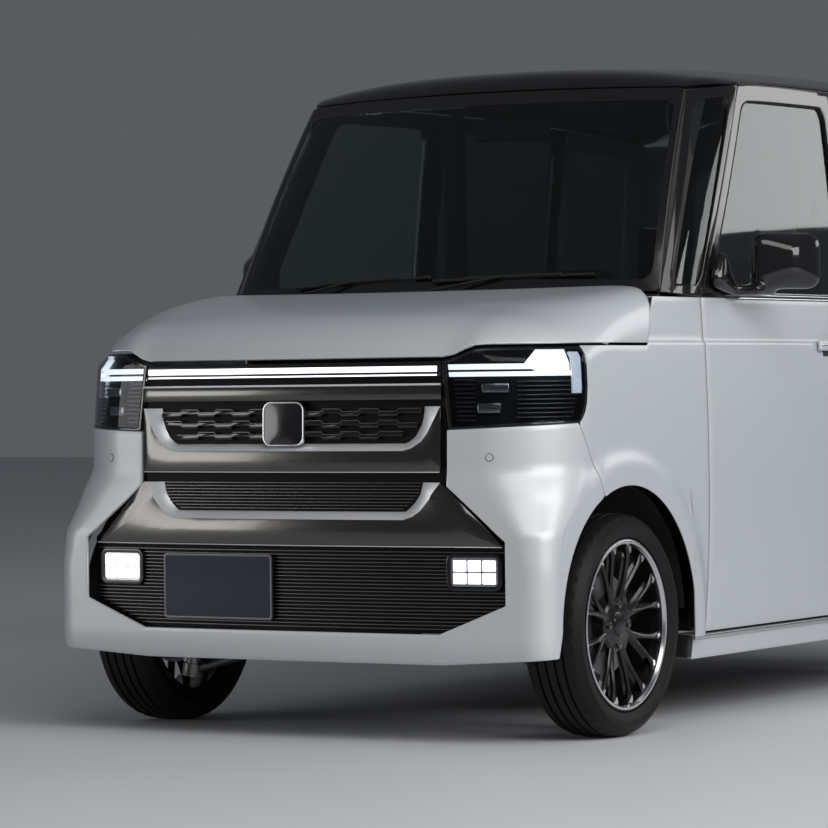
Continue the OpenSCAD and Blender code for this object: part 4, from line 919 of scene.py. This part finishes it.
for side, word in SIDES:
    side_door("slide", side, word, "body", "sliding_doors", "side_windows", "tint",
              steps(SLIDE_Y - 1, SLIDE_END - 3, 26), steps(SLIDE_Y + 3, SLIDE_END - 6, 12), slide_up,
              rounded(0.058, 0.942, 0.03, 0.92, 0.05, 0.07), rounded(0.052, 0.948, 0.02, 0.93, 0.05, 0.07))

    ys = [SLIDE_END + 1] + round_arch(AXLE_R, 171, 52, 34) + [None]
    turn = steps(0, 1, 18)
    rail = rail_at(AXLE_R + 190) + GAP - 1.5
    low = sheet(ys, closing(20, 1.25) + SIDE_ROWS, rear_low, side)
    under = sheet(turn, steps(CORNER_FOOT, LAMP_FOOT_R - 4, 10), rear_corner, side)
    over = sheet(turn, steps(LAMP_TOP_R + 4, rail, 14), rear_corner, side)
    around = rings(between(SQUARE, rounded(0.11, 0.78, 0.055, 0.885, 0.06, 0.08), 4), rear_up, side)
    for skin, name, thick, edge in ((low, "rear_quarter_", 4, 1), (around, "rear_pillar_", 20, 1.2),
                                    (under, "rear_corner_low_", 5, 1), (over, "rear_corner_top_", 5, 1)):
        finish_piece(panel([skin], thick, edge), name + word, "paint", nodes=["rear_quarters"])
    pane = rings(fill_loops(rounded(0.10, 0.79, 0.045, 0.895, 0.06, 0.08)), moved(rear_up, -7), side)
    finish_piece(panel([pane], PANE), "rear_pane_" + word, "tint", nodes=["side_windows"], slot="glass")
    pane = rings(fill_loops(rounded(0.12, 0.88, 0.035, 0.955, 0.16, 0.08)), moved(quarter, -5, 3), side)
    finish_piece(panel([pane], PANE), "pillar_pane_" + word, "glass", nodes=["side_windows"])

    # Rear lamp: red lens over a dark back with bars
    zs = steps(LAMP_FOOT_R, LAMP_TOP_R, 24)
    red = sheet(turn, zs, rear_corner, side)
    finish_piece(panel([red], 4, 1.2), "tail_lens_" + word, "red_lens", nodes=["tail_lamps"], slot="lamp_red")
    back = sheet(turn, zs, tail_in(0.025), side)
    finish_piece(panel([back], 4), "tail_back_" + word, "black_plastic", nodes=["tail_lamps"])
    bars = [sheet(steps(0.15, 0.85, 10), heights, tail_in(0.015), side) for heights in TAIL_BARS]
    finish_piece(panel(bars, 5), "tail_bars_" + word, "lamp_red", nodes=["tail_lamps"])

    # Sill with a bright strip and a dark end
    ys = steps(AXLE_F + ARCH_R + 42, AXLE_R - ARCH_R * 0.98, 30)
    skin = sheet(ys, steps(SILL_Z, DOOR_Z - 8, 6), sill, side)
    finish_piece(panel([skin], 50, 3), "sill_" + word, "paint", nodes=["side_sills"])
    strip = sheet(ys, (DOOR_Z - 20, DOOR_Z - 10), moved(sill, 3.5), side)
    finish_piece(panel([strip], 4, 0.6), "sill_strip_" + word, "chrome", nodes=["side_sills"], slot="dark_chrome")
    ys = steps(AXLE_F + ARCH_R + 12, AXLE_F + ARCH_R + 40, 4)
    finish_piece(panel([sheet(ys, steps(SILL_Z + 4, DOOR_Z - 9, 6), sill, side)], 50, 5), "sill_end_" + word,
                 "black_plastic", nodes=["side_sills"])

    # Belt strips, handles and arch liners
    door = "door_" + word
    for part, body, y0, y1 in (("door", door, DOOR_Y + 140, DOOR_END - 2),
                               ("slide", "body", SLIDE_Y + 2, SLIDE_END - 4),
                               ("rear", "body", SLIDE_END + 2, AXLE_R + 150)):
        lines = [side_strip(side, y0, y1, BELT_Z - 3, BELT_Z + 2, 2.2),
                 side_strip(side, y0, y1, BELT_Z + 6, BELT_Z + 10, 2.6)]
        finish_piece(panel(lines, 3, 0.5), "belt_strip_%s_%s" % (part, word), "chrome", body, slot="dark_chrome")
    x0, x1 = side_x(0, CREASE_Z), HALF_W + HANDLE_OUT
    for part, body, node, y0 in (("door", door, "front_" + door, DOOR_END - 240),
                                 ("slide", "body", "sliding_doors", SLIDE_Y + 55)):
        name = "_%s_%s" % (part, word)
        grip = block(sorted((side * (x0 + 2), side * x1)), (y0, y0 + HANDLE_L), (CREASE_Z - 17, CREASE_Z + 13), 7, 4)
        finish_piece(grip, "handle" + name, "paint", body, [node])
        line = side_strip(side, y0 + 6, y0 + HANDLE_L - 6, CREASE_Z - 3, CREASE_Z + 1, x1 + 0.6 - x0)
        finish_piece(panel([line], 2, 0.4), "handle_line" + name, "chrome", body, slot="dark_chrome")
        cup = sheet(steps(y0 + 40, y0 + 150, 8), steps(CREASE_Z - 32, CREASE_Z + 12, 4), moved(side_pt, 0.6), side)
        finish_piece(panel([cup], 1.5), "handle_cup" + name, "black_plastic", body)
    for part, y, a0, a1 in (("front", AXLE_F, 0.02, 0.98), ("rear", AXLE_R, 0.12, 0.93)):
        liner = sheet(steps(a0 * pi, a1 * pi, 30), (520, 600, 660, 700),
                      lambda a, x: (x, y + LINER_R * cos(a), TYRE_R + LINER_R * sin(a)), side)
        finish_piece(plate_of(liner, 3), "arch_liner_%s_%s" % (part, word), "black_plastic")


def rear_bumper(f, z):
    return pt(f * s_at_y(AXLE_R + sqrt(max(1, ARCH_R ** 2 - (z - TYRE_R) ** 2)), z, TAIL), z, TAIL)


bumper = sheet(steps(-1, 1, 110), steps(228, TAIL_GATE_Z - 5, 22), rear_bumper)
finish_piece(panel([bumper], 8, 2.5), "bumper_rear", "paint", nodes=["rear_bumper"])
low = sheet(steps(-GATE_HALF, GATE_HALF, 50), steps(TAIL_GATE_Z + 3, BELT_Z + 20, 28), gate)
finish_piece(panel([low], 40, 1.5, GATE_IN), "gate_panel", "paint", "gate", ["tailgate"])
around = rings(between(SQUARE, rounded(0.06, 0.94, 0.025, 0.745, 0.05, 0.1), 5), gate_up)
finish_piece(panel([around], SASH_DEEP, SASH_EDGE, GATE_IN_UP), "gate_frame", "black_gloss", "gate", ["tailgate"])
pane = rings(fill_loops(rounded(0.055, 0.945, 0.015, 0.755, 0.05, 0.1)), moved(gate_up, 0, -7))
finish_piece(panel([pane], PANE, 0, GATE_IN_UP), "gate_pane", "tint", "gate", ["tailgate_glass"], "glass")
strip = sheet(steps(-430, 430, 30), steps(STRIP_Z, STRIP_TOP, 5),
              lambda x, z: gate(x, z) + Vector((0, 6 * sin(pi * (z - STRIP_Z) / (STRIP_TOP - STRIP_Z)), 0)))
finish_piece(panel([strip], 6, 1.2, GATE_IN), "gate_strip", "dark_chrome", "gate")

# ---- nose details ----
AHEAD = Vector((0, 0, 0.7))
BAR_Z, BAR_TOP, BAR_X, BAR_LINE, FOOT_Z, LIP_Z = 853, 892, 446, 892.5, 491, 674
SLATS, SLAT_PITCH, SLAT_H, SLAT_HIGHLIGHT_H, SLAT_STEP = ((756, 338), (784, 376), (813, 388)), 54, 11, 1.6, 7
LINE_H, LINE_HALVES = 1.8, ((577, 326), (598, 358), (622, 378), (649, 384))
BADGE, BADGE_MID, BADGE_EDGE = (-57, 57, 744, 846), 795, 5
FOG_EDGE, FOG_X, FOG_Z = (454, 602, 384, 476), (466, 590), (395, 465)
FOG_CELL_W, FOG_CELL_H, FIN = 34, 27, 2.2
SENSOR_X, SENSOR_Z = 567, 710
PLATE, PLATE_EDGE = (-370, -40, 302.5, 467.5), 6


def ribbon(inner, outer, d, rise=1.5):
    """A strip between two lines of (half width, height) on the grille's face, mirrored to both sides."""
    a, b = [[(-x, z) for x, z in line[::-1]] + list(line) for line in (inner, outer)]
    return sheet((0, 0.5, 1), range(len(a)),
                 lambda t, j: face(mix(a[j][0], b[j][0], t), mix(a[j][1], b[j][1], t), d - rise * t))


def level(z, wider=1, xs=(12, 50, 110, 180, 260, 340)):
    return [(x * wider, z) for x in xs]


def panel_half(z):
    return mix(456, 442, (z - LAMP_Z) / (HOOD_Z - 12 - LAMP_Z)) if z > LAMP_Z else lookup(z, OPEN_ROWS)


def slat(xs, z, up, h0, h1, d):
    """One slat that steps up and down along its length."""
    return sheet(range(len(xs)), (h0, h1),
                 lambda j, h: face(xs[j], z + h + (SLAT_STEP if (j // 2 + up) % 2 else 0), d))


back = sheet(steps(-1, 1, 24), [277.5, 350, 430, 505, 596, 640, LAMP_Z, HOOD_Z - 12],
             lambda f, z: face(f * (panel_half(z) - 0.5), z, 15))
finish_piece(panel([back], 12, 0, AHEAD), "grille_back", "void", nodes=["grille_panel"], slot="black_plastic")

# Two frames, each of an inner line, a ridge and an outer line, and the bar over them
upper = [level(745) + [(352, 750), (368, 762), (378, 778), (385, 792), (390, 806), (393, 836)],
         level(727) + [(364, 733), (392, 750), (408, 770), (418, 788), (428, 806), (444, 836)],
         level(LIP_Z, 1.1) + [(400, 674), (441, 674), (444, 690), (444, 740), (444, 790), (444.5, 836)]]
lower = [level(577) + [(352, 586), (366, 600), (374, 611), (379, 618), (382, 626), (388, 649)],
         level(557) + [(366, 565), (388, 580), (402, 596), (412, 608), (420, 622), (443, 649)],
         level(FOOT_Z, 1.35) + [(530, 491), (590, 491), (608, 492), (570, 530), (520, 578), (443.5, 649)]]
bright, dark = [], [sheet(steps(-BAR_X, BAR_X, 30), steps(BAR_Z, BAR_TOP, 6),
                          lambda x, z: face(x, z, -2 - 3 * sin(pi * (z - BAR_Z) / (BAR_TOP - BAR_Z))))]
for inner, ridge, outer in (upper, lower):
    bright.append(ribbon(inner, ridge, 13, 17))
    dark.append(ribbon(ridge, outer, -4, -2))
finish_piece(panel(dark, 8, 0.8, AHEAD), "grille_plates", "dark_chrome", nodes=["grille_bars"])
foot = (20, 120, 260, 400)
bright += [ribbon(level(888) + [(444, 888)], level(BAR_LINE) + [(BAR_X, BAR_LINE)], -4),
           ribbon(level(FOOT_Z, 1, foot + (606,)), level(FOOT_Z + 2, 1, foot + (604,)), -3.0),
           ribbon(level(LIP_Z) + [(442, LIP_Z)], level(LIP_Z + 2) + [(442, LIP_Z + 2)], -3.0)]
finish_piece(panel(bright, 1.5, 0.3, AHEAD), "grille_edges", "bevel", nodes=["grille_bars"], slot="dark_chrome")

# Slats with a painted highlight strip along each top, fine lines and the round-cornered pad in the middle
bars, slat_highlights = [], []
for row, (z, w) in enumerate(SLATS):
    turns = [k * SLAT_PITCH for k in range(-7, 8) if 16 < w - abs(k * SLAT_PITCH)]
    xs = [-w] + [x + d for x in turns for d in (-3, 3)] + [w]
    bars.append(slat(xs, z, row % 2, 0, SLAT_H, 3))
    # a lighter satin strip along each slat's top is painted highlight
    slat_highlights.append(slat(xs, z, row % 2, SLAT_H, SLAT_H + SLAT_HIGHLIGHT_H, 2.4))
finish_piece(panel(bars, 12, 0.8, AHEAD), "grille_slats", "black_gloss", nodes=["grille_panel"])
finish_piece(panel(slat_highlights, 8, 0, AHEAD), "grille_slat_highlights", "satin", nodes=["grille_panel"], slot="black_gloss")
rows = [(z, lookup(z, LINE_HALVES), 8) for z in range(583, 652, 8)]
for z in range(288, 486, 9):
    rows.append((z, 616 if 350 <= z <= 382 or z >= 470 else 456 if z > 382 else 440 + (z - 277) * 2.4, 9))
lines = [sheet(steps(-w, w, 20), (z, z + LINE_H), face_at(d)) for z, w, d in rows]
finish_piece(panel(lines, 4, 0, AHEAD), "grille_lines", "satin", slot="black_plastic")
place = rounded(*BADGE, 20, 20)
badge = rings(fill_loops(place),
              lambda x, z: face(x, z, -5 - 3 * (1 - (x / 60) ** 2) * (1 - ((z - BADGE_MID) / 56) ** 2)))
finish_piece(panel([badge], 10, 0, AHEAD), "badge_place", "black_gloss")
wider = [a + d for a, d in zip(BADGE, (-BADGE_EDGE, BADGE_EDGE, -BADGE_EDGE, BADGE_EDGE))]
edge = rings(between(rounded(*wider, 24, 24), place, 2), face_at(-6))
finish_piece(panel([edge], 10, 0.8, AHEAD), "badge_edge", "chrome", slot="dark_chrome")

for side, word in SIDES:
    bezel = rings(between(rounded(*FOG_EDGE, 22, 22), rounded(*FOG_X, *FOG_Z, 10, 10), 3), face_at(2.0), side)
    finish_piece(panel([bezel], 14, 1.5, AHEAD), "fog_bezel_" + word, "black_gloss")
    cells = [sheet((x, x + FOG_CELL_W), (z, z + FOG_CELL_H), face_at(2.2), side)
             for x in (472, 511, 550) for z in (401, 432)]
    finish_piece(panel(cells, 3, 1.5, AHEAD), "fog_cells_" + word, "lamp", nodes=["fog_lamps"])
    bowl = sheet(steps(*FOG_X, 6), FOG_Z, face_at(5), side)
    finish_piece(panel([bowl], 8, 0, AHEAD), "fog_body_" + word, "chrome", nodes=["fog_lamps"], slot="lamp")
    edge = between(rounded(0, 1, 0, 1, 0.02, 0.02), rounded(0.025, 0.975, 0.03, 0.97, 0.02, 0.02), 1)
    edge = rings(edge, lambda f, v: lens(f, v, -0.6), side)
    finish_piece(panel([edge], 1.2, 0.3), "lamp_edge_" + word, "black_gloss", nodes=["headlamps"])
    s = s_at_x(SENSOR_X, SENSOR_Z, NOSE)
    spot = pt(s, SENSOR_Z, NOSE)
    away = (spot - deep_pt(s, SENSOR_Z, NOSE, 10)).normalized()
    spot.x, away.x = side * spot.x, side * away.x
    finish_piece(pipe(spot - away * 3, spot + away * 0.8, 10, 28), "sensor_ring_" + word, "black_plastic")
    finish_piece(pipe(spot - away * 3, spot + away * 1.4, 8.4, 28), "sensor_" + word, "paint")
    fins = [sheet(steps(a, b, n), (z, z + FIN), lamp_at(DEEP_FIN), side)
            for a, b, n, z0 in ((0.48, 0.93, 16, 806), (0.05, 0.18, 6, 800)) for z in range(z0, 900, 11)]
    finish_piece(panel(fins, 12), "lamp_fins_" + word, "satin", nodes=["headlamps"], slot="black_plastic")
base = sheet(steps(-440, 440, 40), (909, 946), face_at(1.5))
finish_piece(panel([base], 11, 1, AHEAD), "light_bar_body", "black_gloss", nodes=["light_bar"])
lines = [sheet(steps(-432, 432, 40), heights, face_at(-0.2)) for heights in ((921, 935), (911.5, 915))]
finish_piece(panel(lines, 2, 0.4, AHEAD), "light_bar_lines", "lamp", nodes=["light_bar"])
outline = rounded(*PLATE, 9, 9)
plate = rings(fill_loops(outline, (0, 0.03, 0.5, 1)), lambda x, z: (x, FRONT_Y + 1, z))
finish_piece(panel([plate], 5, 0.8, AHEAD), "plate_blank", "plate", nodes=["front_plate"])
inner = rounded(*(a + d for a, d in zip(PLATE, (PLATE_EDGE, -PLATE_EDGE, PLATE_EDGE, -PLATE_EDGE))), 6, 6)
edge = rings(between(outline, inner, 2), lambda x, z: (x, FRONT_Y + 0.4, z))
finish_piece(panel([edge], 3, 0.4, AHEAD), "plate_edge", "satin", nodes=["front_plate"], slot="plate")
tabs = join([block((x - 15, x + 15), (FRONT_Y + 6, FRONT_Y + 14), (360, 420), 1) for x in (-100, -310)])
finish_piece(tabs, "plate_tabs", "black_plastic", nodes=["front_plate"])

# ---- mirrors, wipers, cowl ----
MIRROR_Y = AXLE_F + 655
MIRROR_IN, MIRROR_OUT = Vector((768, MIRROR_Y + 44, 0)), Vector((888, MIRROR_Y + 134, 0))
ON_GLASS, ON_BLADE, ARM_UP, ARM_FOOT = Vector((0, -8, 8)), Vector((0, -2, 3)), Vector((0, -6, 5)), Vector((0, 0, 26))
WIPERS = (("wiper_right", -0.66, 0.02, 0.03, 0.055), ("wiper_left", 0.04, 0.74, 0.035, 0.06))

for side, word in SIDES:
    shell = node_copy("mirror_" + word, "mirror_shell_" + word, 0.005, 40)
    finish_piece(shell, "mirror_shell_" + word, "black_gloss", "door_" + word, ["mirror_" + word], angle=60)
    spot = Vector((side * 762, MIRROR_Y + 2, 1168))
    eye = pipe(spot, spot + Vector((0, -14, 0)), 11, 24)
    finish_piece(eye, "mirror_lens_" + word, "chrome", "door_" + word, slot="metal")
    glass = rings(fill_loops(rounded(0.06, 0.94, 1146, 1262, 0.16, 26)),
                  lambda u, z: mix(MIRROR_IN, MIRROR_OUT, u) + Vector((0, 3, z)), side)
    finish_piece(plate_of(glass, 4), "mirror_glass_" + word, "mirror", "door_" + word, slot="metal")
for name, u0, u1, v0, v1 in WIPERS:
    a, b = screen(u0, v0) + ON_GLASS, screen(u1, v1) + ON_GLASS
    blade = pipe(a, b, 4.5, 10)
    arm = pipe(cowl_pt(u0 + 0.02, 0.62) + ARM_FOOT, mix(a, b, 0.45) + ARM_UP, 4, 10)
    spine = pipe(mix(a, b, 0.2) + ON_BLADE, mix(a, b, 0.8) + ON_BLADE, 5, 8)
    finish_piece(join([blade, arm, spine]), name, "black_plastic")
cowl = sheet(steps(-1.05, 1.05, 42), steps(0, 1, 8), cowl_pt)
finish_piece(panel([cowl], 8, 1, HOOD_IN), "cowl_skin", "black_plastic", nodes=["cowl"])
slots = [sheet((u, u + 0.035), (0.25, 0.75), moved(cowl_pt, 0, 0, 1.2)) for u in steps(-0.5, 0.5, 20)]
finish_piece(panel(slots, 1.5, 0, HOOD_IN), "cowl_slots", "black_gloss", slot="black_plastic")

# ---- cabin ----
DASH_HALF, DASH_Y, WHEEL_X = 548, AXLE_F + 640, -330
HAND = Vector((WHEEL_X, AXLE_F + 830, 973)) * MM
HAND_TILT, HAND_R, HAND_THICK = radians(-66), 0.168, 0.015

pad = [block((-DASH_HALF, DASH_HALF), (AXLE_F + 426, DASH_Y), (790, 1062), 38, 5),
       block((-490, -170), (DASH_Y - 100, DASH_Y + 15), (1030, 1092), 22, 4),
       block((-200, 200), (DASH_Y - 40, DASH_Y + 28), (640, 960), 24, 4),
       pipe((WHEEL_X, DASH_Y - 10, 882), (WHEEL_X, DASH_Y + 172, 965), 24)]
finish_piece(join(pad), "dash_pad", "black_plastic", nodes=["dashboard"])
display = block((-110, 120), (DASH_Y, DASH_Y + 22), (968, 1092), 8)
finish_piece(display, "dash_screen", "black_gloss", nodes=["dashboard"])
vents = [block((x - 55, x + 55), (DASH_Y - 2, DASH_Y + 6), (975, 1030), 6) for x in (-480, 470, 300)]
finish_piece(join(vents), "dash_vents", "satin", nodes=["dashboard"], slot="dark_chrome")
inner_mirror = [block((-118, 118), (DASH_Y + 50, DASH_Y + 76), (1555, 1618), 12, 4),
                pipe((0, DASH_Y + 54, 1600), (0, DASH_Y - 25, 1648), 9)]
finish_piece(join(inner_mirror), "inner_mirror", "black_plastic")
bpy.ops.mesh.primitive_torus_add(major_radius=HAND_R, minor_radius=HAND_THICK, major_segments=72, minor_segments=18)
parts = [bpy.context.object]
for k in (0, 180, 270):
    spoke = block((30, 160), (-16, 16), (-8, 8), 5)
    spoke.data.transform(Matrix.Rotation(radians(k), 4, "Z"))
    parts.append(spoke)
parts.append(block((-62, 62), (-52, 52), (-20, 20), 18, 4))
hand_wheel = join(parts)
hand_wheel.data.transform(Matrix.Translation(HAND) @ Matrix.Rotation(HAND_TILT, 4, "X"))
finish_piece(hand_wheel, "hand_wheel_rim", "hand_grip", "hand_wheel", ["steering_wheel"])

# ---- seats: the blocks of the frame, remeshed and filled by pressure ----
VOXEL, MOST, PRESSURE, FRAMES = 0.013, 0.013, 4, 20


def cushion(node):
    obj = node_copy(node, node + "_pads", VOXEL, 8)
    rest = [v.co.copy() for v in obj.data.vertices]
    only(obj)
    m = obj.modifiers.new("Cloth", "CLOTH")
    m.settings.use_pressure = True
    m.settings.uniform_pressure_force = PRESSURE
    m.settings.effector_weights.gravity = 0
    m.settings.quality = 4
    m.point_cache.frame_start, m.point_cache.frame_end = 1, FRAMES
    for f in range(1, FRAMES + 1):
        bpy.context.scene.frame_set(f)
    bpy.ops.object.modifier_apply(modifier=m.name)
    bpy.context.scene.frame_set(1)
    for v, r0 in zip(obj.data.vertices, rest):
        d = v.co - r0
        if d.length > MOST:
            v.co = r0 + d.normalized() * MOST
    finish_piece(obj, node + "_pads", "seat_cloth", nodes=[node], angle=60)


cushion("front_seats")
cushion("rear_seat")

# ---- stage: floor, light, camera ----
bpy.ops.mesh.primitive_plane_add(size=60, location=(0, 0, 0))
floor = bpy.context.object
floor.name = "floor"
floor.data.materials.append(material("floor_pale", (0.62, 0.63, 0.65), 0.55, 0, 0, 0.03, 0.6, 0.02, 40))


def lamp(name, place, target, size, power):
    bpy.ops.object.light_add(type="AREA", location=place)
    obj = bpy.context.object
    obj.name = name
    obj.data.shape = "RECTANGLE"
    obj.data.size, obj.data.size_y = size
    obj.data.energy = power
    obj.rotation_euler = (Vector(target) - Vector(place)).to_track_quat("-Z", "Y").to_euler()


lamp("key", (7.5, -2.5, 4.2), (0.5, -0.6, 0.8), (6.0, 4.5), 430)
lamp("fill", (-6.2, -7.2, 1.5), (0, -1.4, 0.7), (3.4, 2.6), 95)
lamp("top", (3.2, -5.0, 5.5), (0.2, -0.8, 0.8), (5.0, 3.5), 150)
lamp("back", (5.5, 6.5, 3.5), (0, 0.5, 1.0), (5.0, 2.5), 100)
world = bpy.data.worlds.new("studio")
bpy.context.scene.world = world
world.use_nodes = True
sky = world.node_tree.nodes["Background"].inputs
sky["Color"].default_value = (0.62, 0.66, 0.72, 1)
sky["Strength"].default_value = 0.16
bpy.context.scene.view_settings.view_transform = "Standard"

# The camera as solved for the car's size: turns in radians, place in metres, focal length in picture points
YAW, PITCH, ROLL = 0.5499, -0.0082, -0.0122
CAMERA_AT, FOCAL, PICTURE, SENSOR = (5.4014, -9.8829, 0.8964), 3919.98, 828, 36
forward = Vector((-sin(YAW) * cos(PITCH), cos(YAW) * cos(PITCH), sin(PITCH)))
flat = Vector((cos(YAW), sin(YAW), 0))
rise = flat.cross(forward)
right = cos(ROLL) * flat + sin(ROLL) * rise
up = cos(ROLL) * rise - sin(ROLL) * flat
bpy.ops.object.camera_add()
camera = bpy.context.object
camera.matrix_world = Matrix([*zip(right, up, -forward, CAMERA_AT), (0, 0, 0, 1)])
camera.data.sensor_width = SENSOR
camera.data.lens = FOCAL / PICTURE * SENSOR
bpy.context.scene.camera = camera
